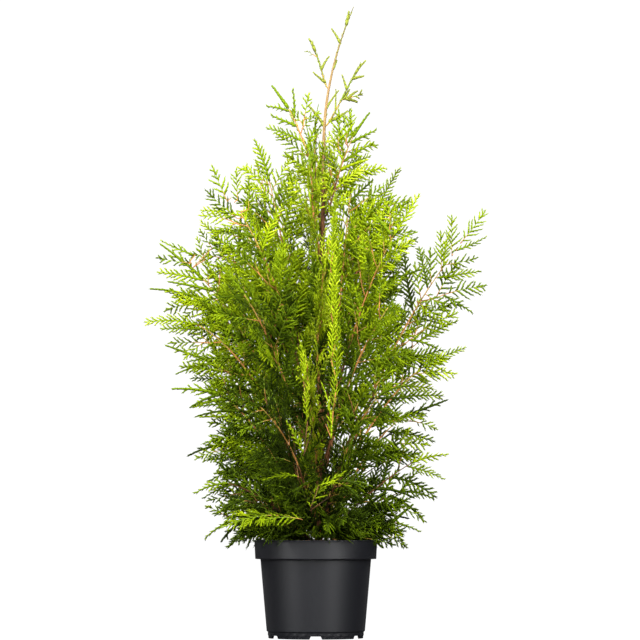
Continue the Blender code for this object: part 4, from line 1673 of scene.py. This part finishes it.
    def try_frond(
        self,
        index: int,
        dice: random.Random,
        spot: Spot,
        length: float,
        value: float,
        habit: Habit,
        droop: float = 1.0,
    ) -> bool:
        """Grow one frond where it has room.

        Args:
            index: The limb's number.
            dice: The random source.
            spot: Where it starts, its direction and that of its branchlets.
            length: Its length.
            value: How bright it is, from 0 to 1.
            habit: How it grows.
            droop: How much it hangs, 1 for the usual.

        Returns:
            Whether it grew.
        """
        limb, rule, (root, ahead, side) = LIMBS[index], self.rule, spot
        side = (side - ahead * side.dot(ahead)).normalized()
        face = ahead.cross(side)
        low = 1 - min(1.0, max(0.0, (root.z - rule.shaded_below) / rule.hanging_over))
        hang = -UP * dice.uniform(0.05, 0.19) * (1.0 + 1.3 * low) * droop
        hang -= ahead * hang.dot(ahead)
        bend = hang + face * dice.uniform(-0.18, 0.18) + side * dice.uniform(-0.14, 0.14)
        frond = Frond(root, ahead, side, length, bend, dice.uniform(0.85, 1.12), dice.uniform(0.1, 0.9))
        pattern = self.pattern_for(length, habit, dice)
        ends = frond.place(pattern.outline)
        if not self.free(ends) or not self.owned(index, ends[:1]) or self.veils(index, ends):
            return False
        greens = Green.ladder()
        shade = min(len(greens) - 2, max(1, round(value * (len(greens) - 1))))
        green = Green.OLIVE if limb.name.startswith("leader_tip") else greens[shade]
        self.keep_leaves(green, frond, pattern, f"foliage_{limb.name}")
        self.keep_rib(frond, pattern, f"foliage_{limb.name}")
        self.fronds += 1
        return True

    def keep_leaves(self, green: Green, frond: Frond, pattern: Pattern, node: str) -> None:
        """Gather a frond's leaves with those of the same green.

        Args:
            green: The green.
            frond: The frond.
            pattern: Its pattern.
            node: The solid that it grows in place of.
        """
        batches = self.leaves[green]
        if batches[-1].faces + len(pattern.leaf_triangles) > MOST_TRIANGLES:
            batches.append(Batch())
        batches[-1].add(frond.place(pattern.leaf_points), pattern.leaf_triangles, pattern.leaf_tones, node)

    def keep_rib(self, frond: Frond, pattern: Pattern, node: str) -> None:
        """Gather a frond's rib: orange at its root, then tan, and green further out.

        Args:
            frond: The frond.
            pattern: Its pattern.
            node: The solid that it grows in place of.
        """
        middles = pattern.rib_points[pattern.rib_triangles].mean(axis=1)
        woods = np.where(middles[:, 0] < 0.10, 0, np.where(middles[:, 0] < 0.28, 1, 2))
        batch = self.ribs[-1]
        if batch.faces + len(woods) > MOST_TRIANGLES:
            batch = Batch()
            self.ribs.append(batch)
        batch.add(frond.place(pattern.rib_points), pattern.rib_triangles, woods, node)

    # Growth

    @staticmethod
    def heading(dice: random.Random, spot: Spot, sign: int, lay: Lay) -> tuple[Vector, Vector]:
        """Choose the direction of a shoot off a line of growth.

        Args:
            dice: The random source.
            spot: Where it leaves the line.
            sign: Which side it grows on.
            lay: How the mass lays its fronds.

        Returns:
            The shoot's direction and the direction outwards that it opens to.
        """
        level = spot.ahead.cross(spot.side)
        angle = math.radians(lay.angle + dice.uniform(-9, 9))
        roll = math.radians(lay.roll + dice.uniform(-lay.spread, lay.spread))
        outwards = (spot.side * math.cos(roll) + level * math.sin(roll)) * sign
        return (spot.ahead * math.cos(angle) + outwards * math.sin(angle)).normalized(), outwards

    def value_at(self, dice: random.Random, limb: Limb, along: float, height: float) -> float:
        """Find how bright a frond is, with painted light and shade: by its limb, how far out and how high it
        grows, and chance.

        Args:
            dice: The random source.
            limb: Its limb.
            along: How far out on the stem it grows, as a share.
            height: The height of its root.

        Returns:
            Its brightness, from 0 to 1.
        """
        rise = self.rule.rise(height)
        tip = 0.30 * along**2 * (1 - 0.85 * rise)
        outer = 0.10 * (1 - rise) + tip if Lay.of(limb) is Lay.FLAT else 0.08 * along - 0.06
        # Painted light and shade: the rise term makes greens paler the higher a frond grows and darker low
        # in the crown.
        value = 0.06 + 0.26 * limb.bright + outer + 0.26 * rise + dice.uniform(-0.20, 0.20)
        # Painted shade: the cap falls near the top so the top soft box doesn't wash the greens out.
        brightest = 0.90 - 0.24 * rise - 0.40 * max(0.0, height - 0.66)
        darkest = 0.52 if limb.name.startswith("leader") else 0.0
        return max(darkest, min(value + MANNERS.get(limb.name, Manner()).lift, brightest))

    def grow_limb(self, index: int) -> None:
        """Grow one mass of foliage: its stem, twigs and fronds.

        Args:
            index: The limb's number.
        """
        limb, path, rule = LIMBS[index], self.paths[index], self.rule
        dice = random.Random(rule.seed + 97 * index)
        node = f"foliage_{limb.name}"
        tip_length = min(0.30 * path.length * (1 - limb.bare), 0.85 * limb.spread)
        first = limb.bare
        last = 1 - 0.86 * tip_length / path.length
        shares = [first + (last - first) * i / (rule.stem_rings - 1) for i in range(rule.stem_rings)]
        centres = [path.point(share) for share in shares]
        if not limb.bare:
            centres[0] = centres[0] - path.out * rule.stem_sink
        base = rule.bough_tip_radius if limb.bare else rule.root_radius(limb)
        woods = (Wood.BROWN, Wood.TAN) if limb.bare else (Wood.OLD, Wood.TAN)
        if limb.top < rule.old_below:
            woods = (Wood.OLD, Wood.BROWN)
        manner = MANNERS.get(limb.name, Manner())
        spacing = rule.frond_spacing * manner.openness
        if limb.name.startswith("leader_tip"):
            woods, spacing = (Wood.TAN, Wood.GREEN), rule.leader_spacing
            self.clothe_stem(index)
        if Lay.of(limb) is Lay.UPRIGHT:
            woods, spacing = (Wood.ORANGE, Wood.TAN), rule.upright_spacing
        self.twigs.append(Twig(centres, (base, rule.stem_tip_radius), woods, node))

        def lie(share: float) -> Spot:
            """The place at a share of the stem, with its direction and its side."""
            ahead = path.tangent(share)
            return Spot(path.point(share), ahead, path.aside.cross(ahead).normalized())

        spot, end = lie(last), path.point(1.0)
        value = self.value_at(dice, limb, 1.0, end.z)
        habit = self.habit_for(index, 1.4, dice)
        ahead = (end - spot.root).normalized()
        self.try_frond(index, dice, spot._replace(ahead=ahead), (end - spot.root).length, value, habit)
        stem_length = (last - first) * path.length
        fronds = max(3, round(stem_length / spacing))
        sign = dice.choice((-1, 1))
        for i in range(fronds):
            along = (i + 0.5) / fronds
            spot = lie(first + (last - first) * along)
            length = rule.side_length(along, limb) * dice.uniform(0.86, 1.08)
            value = self.value_at(dice, limb, along, spot.root.z)
            if Lay.of(limb) is Lay.UPRIGHT:
                length, value = length * 0.60, dice.uniform(0.78, 0.92) + 0.6 * manner.lift
            if Lay.of(limb) is Lay.LEVEL:
                length, value = length * 0.84, 0.7 * value
            if i % rule.fork_every == rule.fork_every // 2:
                self.grow_fork(index, dice, spot, sign, length, value)
            else:
                self.grow_side(index, dice, spot, sign, length, value, along)
            sign = -sign

    def clothe_stem(self, index: int) -> None:
        """Set scale leaves close along a leader's side stem.

        Args:
            index: The limb's number.
        """
        path = self.paths[index]
        spacing, length = self.rule.side_scale
        count = round(path.length / spacing)
        shares = [0.04 + 0.90 * i / count for i in range(count)]
        self.clothe([path.point(share) for share in shares], index, length)

    def clothe(self, centres: Sequence[Vector], index: int, length: float) -> None:
        """Set a spiral of scale leaves on a line.

        Args:
            centres: Where they sit.
            index: The limb that they belong to.
            length: Their length.
        """
        dice = random.Random(self.rule.seed + 53 * index)
        work = bmesh.new()
        for i, centre in enumerate(centres[:-1]):
            ahead = (centres[i + 1] - centre).normalized()
            outwards = Matrix.Rotation(2.4 * i, 3, ahead) @ ahead.orthogonal().normalized()
            angle = math.radians(dice.uniform(18, 30))
            heading = (ahead * math.cos(angle) + outwards * math.sin(angle)).normalized()
            FrondShape.shoot(work, centre, heading, (length, *self.rule.scale_section), 0.0, 3)
        self.leaves[Green.OLIVE][-1].add(*triangles_of(work), f"foliage_{LIMBS[index].name}")

    def grow_leader_shoots(self) -> None:
        """Grow the short scaly shoots on the leader itself, up to its tip."""
        dice = random.Random(self.rule.seed + 3)
        index = self.number["leader_tip_left"]
        spacing, scale = self.rule.leader_scale
        heights = np.arange(*self.rule.leader_clothed, spacing)
        self.clothe([self.trunk.point(height) for height in heights], index, scale)
        for height, lean, length in self.rule.leader_shoots:
            spot = Spot(self.trunk.point(height), (UP + ALONG * lean).normalized(), -ALONG)
            self.try_frond(index, dice, spot, length, 0.5, WHIP)

    def grow_placed_shoots(self) -> None:
        """Grow the placed shoots, each on a twig from its mass's stem or, in front, from the one before."""
        dice = random.Random(self.rule.seed + 5)
        roots: dict[str, Vector] = {}
        for shoot in PLACED_SHOOTS:
            frond, node = shoot.frond(), f"foliage_{shoot.limb}"
            pattern = self.pattern_for(shoot.length, shoot.habit, dice)
            self.keep_leaves(shoot.green, frond, pattern, node)
            self.keep_rib(frond, pattern, node)
            path = self.paths[self.number[shoot.limb]]
            nearest = min(path.samples, key=lambda point: (point - frond.root).length)
            start = roots.get(shoot.limb, nearest)
            middle = start.lerp(frond.root, 0.5) + Vector((0, -0.002, 0))
            young = frond.root.z > self.rule.young_above or shoot.limb == "front_high"
            woods = (Wood.ORANGE, Wood.ORANGE) if young else (Wood.OLD, Wood.BROWN)
            self.twigs.append(Twig([start, middle, frond.root], self.rule.shoot_radii, woods, node))
            if shoot.limb.startswith("front"):
                roots[shoot.limb] = frond.root

    def grow_inner(self, index: int, dice: random.Random) -> None:
        """Grow the dark inner fronds, off the bough and the first half of the stem: painted shade inside the
        crown, paler higher up.

        Args:
            index: The limb's number.
            dice: The random source.
        """
        limb, path = LIMBS[index], self.paths[index]
        first = 0.55 * limb.bare if limb.bare else 0.03
        last = limb.bare + (1 - limb.bare) * 0.55
        manner = MANNERS.get(limb.name, Manner())
        sparse = (2.0 if Lay.of(limb) is Lay.FLAT else 1.0) * manner.openness**2
        count = round((last - first) * path.length / (self.rule.inner_spacing * sparse))
        for i in range(count):
            share = first + (last - first) * (i + dice.random()) / count
            ahead, root = path.tangent(share), path.point(share)
            turn = Matrix.Rotation(dice.uniform(-math.pi, math.pi), 3, ahead)
            side = (turn @ path.aside.cross(ahead)).normalized()
            length = limb.spread * dice.uniform(0.58, 0.88)
            # Painted shade: inner fronds stay dark, paler only the higher they grow.
            high = 0.34 * self.rule.rise(root.z)
            value = 0.10 * limb.bright + 0.16 * (i / count) + high + dice.uniform(-0.08, 0.10)
            value += manner.lift + (0.30 if limb.name.startswith("leader") else 0.0)
            self.grow_side(index, dice, Spot(root, ahead, side), 1, length, value, 0.0)

    def grow_skirt(self) -> None:
        """Grow the dark fronds that spill from the lowest stems over the rim, all round the pot, their
        greens darkened as painted shade under the crown.
        """
        dice = random.Random(self.rule.seed + 7)
        low = [i for i, limb in enumerate(LIMBS) if limb.foot < 0.17]
        for k in range(self.rule.skirt_fronds):
            azimuth = 2 * math.pi * (k + dice.random()) / self.rule.skirt_fronds
            out = Vector((math.cos(azimuth), math.sin(azimuth), 0))
            index = max(low, key=lambda i: self.paths[i].out.dot(out) + dice.uniform(-0.15, 0.15))
            root = self.paths[index].point(dice.uniform(0.03, 0.24))
            turn = Matrix.Rotation(dice.uniform(-math.pi, math.pi), 3, out)
            side = (turn @ out.orthogonal()).normalized()
            # Painted shade: the skirt's greens are dark because it lies under the crown.
            length, value = dice.uniform(0.066, 0.104), dice.uniform(0.04, 0.36)
            for lift in (0.0, 4.0, 8.0, 13.0, 19.0, 26.0):
                rise = math.radians(dice.uniform(-5, 1) + lift)
                ahead = (out * math.cos(rise) + UP * math.sin(rise)).normalized()
                habit = dice.choice((FEATHER, FEATHER, SPIRE))
                if self.try_frond(index, dice, Spot(root, ahead, side), length, value, habit, 0.55):
                    break

    def grow_side(
        self,
        index: int,
        dice: random.Random,
        spot: Spot,
        sign: int,
        length: float,
        value: float,
        along: float,
    ) -> bool:
        """Grow one frond off a line of growth, turned and shortened until it has room.

        Args:
            index: The limb's number.
            dice: The random source.
            spot: Where it leaves the line.
            sign: Which side it grows on.
            length: Its length.
            value: How bright it is, from 0 to 1.
            along: How far out it grows, as a share.

        Returns:
            Whether it grew.
        """
        habit = self.habit_for(index, along, dice)
        for attempt in range(self.rule.tries):
            heading, outwards = self.heading(dice, spot, sign, Lay.of(LIMBS[index]))
            size = length * (1 - self.rule.shortening * attempt)
            if size > self.rule.shortest * LIMBS[index].spread:
                if self.try_frond(index, dice, Spot(spot.root, heading, outwards), size, value, habit):
                    return True
        return False

    def grow_fork(
        self, index: int, dice: random.Random, spot: Spot, sign: int, length: float, value: float
    ) -> None:
        """Grow a side twig with a frond at its end and others along it.

        Args:
            index: The limb's number.
            dice: The random source.
            spot: Where it leaves the stem.
            sign: Which side it grows on.
            length: The length of a frond there.
            value: How bright the fronds are, from 0 to 1.
        """
        root, rule, node = spot.root, self.rule, f"foliage_{LIMBS[index].name}"
        for _ in range(rule.tries):
            heading, outwards = self.heading(dice, spot, sign, Lay.of(LIMBS[index]))
            size = length * rule.fork_share
            end = root + heading * size
            if not self.free(np.array([end])) or not self.owned(index, np.array([end])):
                continue
            lateral = (outwards - heading * outwards.dot(heading)).normalized()
            if not self.try_frond(index, dice, Spot(end, heading, lateral), length * 0.66, value, FEATHER):
                continue
            middle = root.lerp(end, 0.5) + lateral * size * 0.05
            woods = (Wood.OLD, Wood.BROWN) if root.z < rule.old_below else (Wood.BROWN, Wood.TAN)
            self.twigs.append(Twig([root, middle, end], rule.fork_radii, woods, node))
            branch = dice.choice((-1, 1))
            for share in (0.35, 0.62, 0.86):
                size = length * dice.uniform(0.50, 0.66)
                place = Spot(root.lerp(end, share), heading, lateral)
                self.grow_side(index, dice, place, branch, size, value, 0.4)
                branch = -branch
            return

    def grow(self) -> None:
        """Grow every mass, then the fronds that stand on the leader itself."""
        for index, limb in enumerate(LIMBS):
            self.grow_limb(index)
            if not limb.name.startswith("leader_tip"):
                self.grow_inner(index, random.Random(self.rule.seed + 1009 * index))
        self.grow_skirt()
        self.grow_leader_shoots()
        self.grow_placed_shoots()
        LOG.info("%d fronds, %d twigs", self.fronds, len(self.twigs))

    # Meshes

    def build(self) -> None:
        """Join what has grown into pieces, each kind apart."""
        leaf_finishes = {green: green.finish().build() for green in Green}
        wood_finishes = {wood: wood.finish().build() for wood in Wood}
        for green, batches in self.leaves.items():
            for part, batch in enumerate(batches):
                if batch.faces:
                    finishes = [leaf_finishes[shade] for shade in green.shades()]
                    batch.piece(f"leaves_{green.name.lower()}_{part + 1}", green.slot(), finishes)
        rib_finishes = [wood_finishes[wood] for wood in (Wood.ORANGE, Wood.TAN, Wood.GREEN)]
        for part, batch in enumerate(self.ribs):
            batch.piece(f"frond_ribs_{part + 1}", "foliage_mid", rib_finishes)
        stems = Batch()
        for twig in self.twigs:
            stems.add(*twig.arrays(self.rule.twig_sides), twig.node)
        stems.piece("stems_and_twigs", "bough_bark", [wood_finishes[wood] for wood in Wood])


# Pot and soil


@dataclass
class Pot:
    """The round nursery pot: foot ring with notches, sloping body, band and lip."""

    steps: int = 128
    wall: float = 0.0015
    height: float = 0.1488
    foot_inner: float = 0.0690
    foot_bottom: float = 0.0720
    foot_top: float = 0.0729
    foot_height: float = 0.0098
    body_bottom: float = 0.0748
    body_from: float = 0.0110
    body_top: float = 0.0842
    band_bottom: float = 0.0921
    band_from: float = 0.1208
    band_top: float = 0.0934
    lip_radius: float = 0.0950
    lip_thick: float = 0.0014
    plate_under: float = 0.0050
    plate_thick: float = 0.0016
    edge_radius: float = 0.0003
    notches: int = 6
    notch_bottom: float = 0.0190
    notch_top: float = 0.0150
    notch_height: float = 0.0047

    def wall_outside(self, height: float) -> float:
        """Outer radius of the body's wall at a height below the band."""
        share = (height - self.body_from) / (self.band_from - 0.0010 - self.body_from)
        return self.body_bottom + (self.body_top - self.body_bottom) * share

    def wall_inside(self, height: float) -> float:
        """Inner radius of the body's wall at a height below the band."""
        return self.wall_outside(height) - self.wall

    def profile(self) -> list[tuple[float, float]]:
        """List the section's corners, from the axis under the plate round to the axis above it.

        Returns:
            The radius and the height of each corner.
        """
        plate_top = self.plate_under + self.plate_thick
        return [
            (0.0, self.plate_under),
            (self.foot_inner, self.plate_under),
            (self.foot_inner, 0.0),
            (self.foot_bottom, 0.0),
            (self.foot_bottom + 0.0003, 0.0042),
            (self.foot_bottom + 0.0010, 0.0046),
            (self.foot_top, self.foot_height),
            (self.body_bottom, self.body_from),
            (self.wall_outside(self.body_from + 0.0012), self.body_from + 0.0012),
            (self.wall_outside(self.band_from - 0.0028), self.band_from - 0.0028),
            (self.body_top, self.band_from - 0.0010),
            (self.band_bottom - 0.0004, self.band_from - 0.0006),
            (self.band_bottom, self.band_from),
            (self.band_bottom + 0.00006, self.band_from + 0.0012),
            (self.band_top - 0.00006, self.height - self.lip_thick - 0.0018),
            (self.band_top, self.height - self.lip_thick - 0.0006),
            (self.lip_radius, self.height - self.lip_thick),
            (self.lip_radius, self.height),
            (self.band_top - self.wall, self.height),
            (self.band_bottom - self.wall, self.band_from + 0.0014),
            (self.wall_inside(self.band_from), self.band_from - 0.0004),
            (self.wall_inside(self.body_from) - 0.0006, plate_top),
            (0.0, plate_top),
        ]

    def notch_cutter(self) -> bpy.types.Object:
        """Set tapered blocks round the foot ring, one for each notch.

        Returns:
            All of them as one object, to be cut from the pot.
        """
        work = bmesh.new()
        middle = (self.foot_inner + self.foot_bottom) / 2
        for index in range(self.notches):
            turn = Matrix.Rotation(math.radians(-90 + 360 / self.notches * index), 4, "Z")
            block = bmesh.ops.create_cube(work, size=1.0)["verts"]
            for vert in block:
                low = vert.co.z < 0
                half = self.notch_bottom / 2 * 1.05 if low else self.notch_top / 2
                vert.co.x = middle + vert.co.x * 0.012
                vert.co.y = math.copysign(half, vert.co.y)
                vert.co.z = -0.001 if low else self.notch_height
            bmesh.ops.transform(work, matrix=turn, verts=block)
        obj = bpy.data.objects.new("notch_cutter", mesh_from_bmesh("notch_cutter", work, smooth=False))
        bpy.context.scene.collection.objects.link(obj)
        return obj

    def build(self, plastic: bpy.types.Material) -> bpy.types.Object:
        """Spin the section, cut the notches and round the edges.

        Args:
            plastic: The pot's material.

        Returns:
            The piece that stands for the pot.
        """
        work = bmesh.new()
        points = [work.verts.new((radius, 0.0, height)) for radius, height in self.profile()]
        edges = [work.edges.new(pair) for pair in zip(points, points[1:])]
        bmesh.ops.spin(
            work,
            geom=points + edges,
            cent=(0, 0, 0),
            axis=(0, 0, 1),
            angle=2 * math.pi,
            steps=self.steps,
            use_merge=True,
        )
        bmesh.ops.remove_doubles(work, verts=work.verts, dist=0.00001)
        bmesh.ops.recalc_face_normals(work, faces=work.faces)
        mesh = mesh_from_bmesh("pot_blank", work)
        obj = bpy.data.objects.new("pot_blank", mesh)
        bpy.context.scene.collection.objects.link(obj)
        cutter = self.notch_cutter()
        cut = obj.modifiers.new("notches", "BOOLEAN")
        cut.operation, cut.object, cut.solver = "DIFFERENCE", cutter, "EXACT"
        round_off = obj.modifiers.new("rounded_edges", "BEVEL")
        round_off.width, round_off.segments, round_off.limit_method = self.edge_radius, 2, "ANGLE"
        round_off.angle_limit = math.radians(32)
        round_off.harden_normals = True
        graph = bpy.context.evaluated_depsgraph_get()
        finished = bpy.data.meshes.new_from_object(obj.evaluated_get(graph))
        for spare in (obj, cutter):
            bpy.data.objects.remove(spare, do_unlink=True)
        finished.name = "nursery_pot"
        finished.materials.clear()
        finished.materials.append(plastic)
        finished.set_sharp_from_angle(angle=math.radians(34))
        return piece_from_mesh(finished, ["pot"])


@dataclass
class Soil:
    """Potting soil: a lumpy surface inside the rim, with crumbs and bits of bark on it."""

    radius: float = 0.0898
    top: float = 0.1340
    crown: float = 0.0012
    depth: float = 0.0600
    lumps: float = 0.0016
    sides: int = 96
    rings: int = 16
    crumbs: int = 420
    seed: int = 5

    def height(self, x: float, y: float) -> float:
        """Find the height of the surface.

        Args:
            x: The place's distance to the right of the axis.
            y: Its distance behind it.

        Returns:
            The height there.
        """
        away = math.hypot(x, y) / self.radius
        lump = noise.noise(Vector((x * 90, y * 90, 3))) + 0.5 * noise.noise(Vector((x * 260, y * 260, 9)))
        edge = min(1.0, (1 - away) * 8) if away < 1 else 0.0
        return self.top + self.crown * (1 - away**2) + self.lumps * lump * max(0.15, edge)

    def build(self, compost: bpy.types.Material, pot: Pot) -> bpy.types.Object:
        """Model the plug of soil and scatter the crumbs.

        Args:
            compost: The soil's material.
            pot: The pot that it fills.

        Returns:
            The piece that stands for the soil.
        """
        work = bmesh.new()
        top = bmesh.ops.create_circle(work, cap_ends=True, segments=self.sides, radius=self.radius)["verts"]
        bmesh.ops.translate(work, verts=top, vec=(0, 0, self.top))
        cap = next(iter(work.faces))
        for _ in range(self.rings):
            bmesh.ops.inset_individual(work, faces=[cap], thickness=self.radius / (self.rings + 1.5))
        bmesh.ops.poke(work, faces=[cap])
        for vert in work.verts:
            if math.hypot(vert.co.x, vert.co.y) < self.radius - 0.0005:
                vert.co.z = self.height(vert.co.x, vert.co.y)
        rim = [edge for edge in work.edges if edge.is_boundary]
        for radius, height in (
            (pot.band_bottom - pot.wall - 0.0006, pot.band_from + 0.0018),
            (pot.wall_inside(pot.band_from) - 0.0006, pot.band_from - 0.0006),
            (pot.wall_inside(pot.body_from) - 0.0012, pot.plate_under + pot.plate_thick + 0.0004),
        ):
            made = bmesh.ops.extrude_edge_only(work, edges=rim)["geom"]
            verts = [g for g in made if isinstance(g, bmesh.types.BMVert)]
            rim = [g for g in made if isinstance(g, bmesh.types.BMEdge)]
            now = math.hypot(verts[0].co.x, verts[0].co.y)
            bmesh.ops.scale(work, verts=verts, vec=(radius / now, radius / now, 1))
            bmesh.ops.translate(work, verts=verts, vec=(0, 0, height - verts[0].co.z))
        bmesh.ops.contextual_create(work, geom=rim)
        dice = random.Random(self.seed)
        for _ in range(self.crumbs):
            self.add_crumb(work, dice)
        bmesh.ops.recalc_face_normals(work, faces=work.faces)
        mesh = mesh_from_bmesh("potting_soil", work, smooth=False)
        mesh.materials.append(compost)
        return piece_from_mesh(mesh, ["soil"])

    def add_crumb(self, work: bmesh.types.BMesh, dice: random.Random) -> None:
        """Set one crumb or chip half into the surface.

        Args:
            work: The bmesh that it is added to.
            dice: The random source.
        """
        away, angle = self.radius * 0.95 * math.sqrt(dice.random()), dice.uniform(0, 2 * math.pi)
        x, y = away * math.cos(angle), away * math.sin(angle)
        size = dice.uniform(0.0006, 0.0019)
        chip = dice.random() < 0.25
        shape = (2.2, 0.9, 0.45) if chip else (1.0, dice.uniform(0.7, 1.0), dice.uniform(0.6, 0.9))
        turn = Matrix.Rotation(dice.uniform(0, math.pi), 4, "Z")
        turn = turn @ Matrix.Rotation(dice.uniform(-0.4, 0.4), 4, "Y")
        place = Matrix.Translation((x, y, self.height(x, y) + 0.0002))
        bmesh.ops.create_icosphere(
            work, subdivisions=1, radius=size, matrix=place @ turn @ Matrix.Diagonal((*shape, 1))
        )


# Studio


@dataclass
class Studio:
    """White floor, soft boxes and the camera."""

    middle: Vector = field(default_factory=lambda: Vector((0.0064, 0.0, 0.4838)))
    camera_distance: float = 6.0
    camera_height: float = 0.20
    view_width: float = 0.976
    sensor: float = 36.0

    def floor(self) -> bpy.types.Object:
        """Lay a wide white floor that isn't part of the plant.

        Returns:
            The floor.
        """
        work = bmesh.new()
        bmesh.ops.create_grid(work, x_segments=1, y_segments=1, size=30.0)
        mesh = mesh_from_bmesh("floor", work, smooth=False)
        obj = bpy.data.objects.new("floor", mesh)
        bpy.context.scene.collection.objects.link(obj)
        made = bpy.data.materials.new("floor_white")
        made.use_nodes = True
        shader = made.node_tree.nodes["Principled BSDF"]
        kit = NodeKit(made.node_tree)
        rays = kit.node("LightPath").outputs["Is Camera Ray"]
        glow = kit.node("MapRange", {"Value": rays, "To Min": 0.0, "To Max": 1.02})
        made.node_tree.links.new(glow.outputs[0], shader.inputs["Emission Strength"])
        shader.inputs["Base Color"].default_value = (0.02, 0.02, 0.02, 1)
        shader.inputs["Roughness"].default_value = 0.9
        shader.inputs["Specular IOR Level"].default_value = 0.1
        shader.inputs["Emission Color"].default_value = (1, 1, 1, 1)
        mesh.materials.append(made)
        return obj

    def soft_box(
        self,
        name: str,
        azimuth: float,
        height: float,
        distance: float,
        size: tuple[float, float],
        power: float,
    ) -> None:
        """Add a rectangular area light that faces the plant.

        Args:
            name: The light's name.
            azimuth: Degrees from the front, positive to the right.
            height: Its height.
            distance: How far it stands from the pot's axis.
            size: Its width and height.
            power: Its power in watts.
        """
        lamp = bpy.data.lights.new(name, "AREA")
        lamp.shape, lamp.size, lamp.size_y, lamp.energy = "RECTANGLE", size[0], size[1], power
        obj = bpy.data.objects.new(name, lamp)
        angle = math.radians(azimuth)
        obj.location = (distance * math.sin(angle), -distance * math.cos(angle), height)
        aim = Vector((0, 0, min(0.45, height))) - obj.location
        obj.rotation_euler = aim.to_track_quat("-Z", "Y").to_euler()
        obj.visible_camera = False
        bpy.context.scene.collection.objects.link(obj)

    def light(self) -> None:
        """Set the white surroundings and the soft boxes."""
        world = bpy.data.worlds.new("white_studio")
        world.use_nodes = True
        kit = NodeKit(world.node_tree)
        back = world.node_tree.nodes["Background"]
        seen = kit.node("LightPath").outputs["Is Camera Ray"]
        up = kit.node("SeparateXYZ", {"Vector": kit.node("TexCoord").outputs["Generated"]}).outputs["Z"]
        given = {"Value": up, "From Min": 0.15, "To Min": 0.010, "To Max": 0.32}
        sky = kit.node("MapRange", given).outputs[0]
        strength = kit.node("MapRange", {"Value": seen, "To Min": sky, "To Max": 1.1}).outputs[0]
        back.inputs["Color"].default_value = (1, 1, 1, 1)
        world.node_tree.links.new(strength, back.inputs["Strength"])
        bpy.context.scene.world = world
        self.soft_box("soft_box_left", -52, 1.0, 1.9, (0.6, 1.3), 46)
        self.soft_box("soft_box_right", 38, 1.0, 1.9, (0.5, 1.3), 60)
        self.soft_box("soft_box_top", -20, 2.3, 1.0, (0.9, 0.9), 80)
        self.soft_box("soft_box_back_left", -138, 1.4, 1.9, (0.7, 1.2), 44)
        self.soft_box("soft_box_back_right", 144, 1.4, 1.9, (0.7, 1.2), 44)
        self.soft_box("reflector_left", -46, 0.13, 1.6, (0.8, 0.24), 1.6)
        self.soft_box("reflector_middle", -4, 0.13, 1.6, (0.6, 0.24), 2.6)
        self.soft_box("reflector_right", 36, 0.13, 1.6, (0.7, 0.24), 1.2)

    def camera(self) -> None:
        """Set the camera level with the pot's rim, aimed at the middle of the view."""
        data = bpy.data.cameras.new("camera")
        place = Vector((self.middle.x, -self.camera_distance, self.camera_height))
        away = (self.middle - place).length
        data.sensor_width = self.sensor
        data.lens = self.sensor * away / self.view_width
        obj = bpy.data.objects.new("camera", data)
        obj.location = place
        obj.rotation_euler = (self.middle - place).to_track_quat("-Z", "Y").to_euler()
        bpy.context.scene.collection.objects.link(obj)
        bpy.context.scene.camera = obj

    def build(self) -> None:
        """Set up the whole studio."""
        self.floor()
        self.light()
        self.camera()
        view = bpy.context.scene.view_settings
        view.view_transform = "Standard"
        view.look = "None"


def main() -> None:
    """Build the plant's pieces in order and report each."""
    logging.basicConfig(level=logging.INFO, format="%(name)s: %(message)s")
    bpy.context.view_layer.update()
    Studio().build()
    pot = Pot()
    pot.build(PLASTIC.build())
    Soil().build(COMPOST.build(), pot)
    trunk = Trunk()
    trunk.build(TRUNK_BARK.build())
    crown = Crown(trunk)
    crown.prepare()
    crown.build_boughs(BOUGH_BARK.build())
    crown.grow()
    crown.build()


if __name__ == "__main__":
    main()
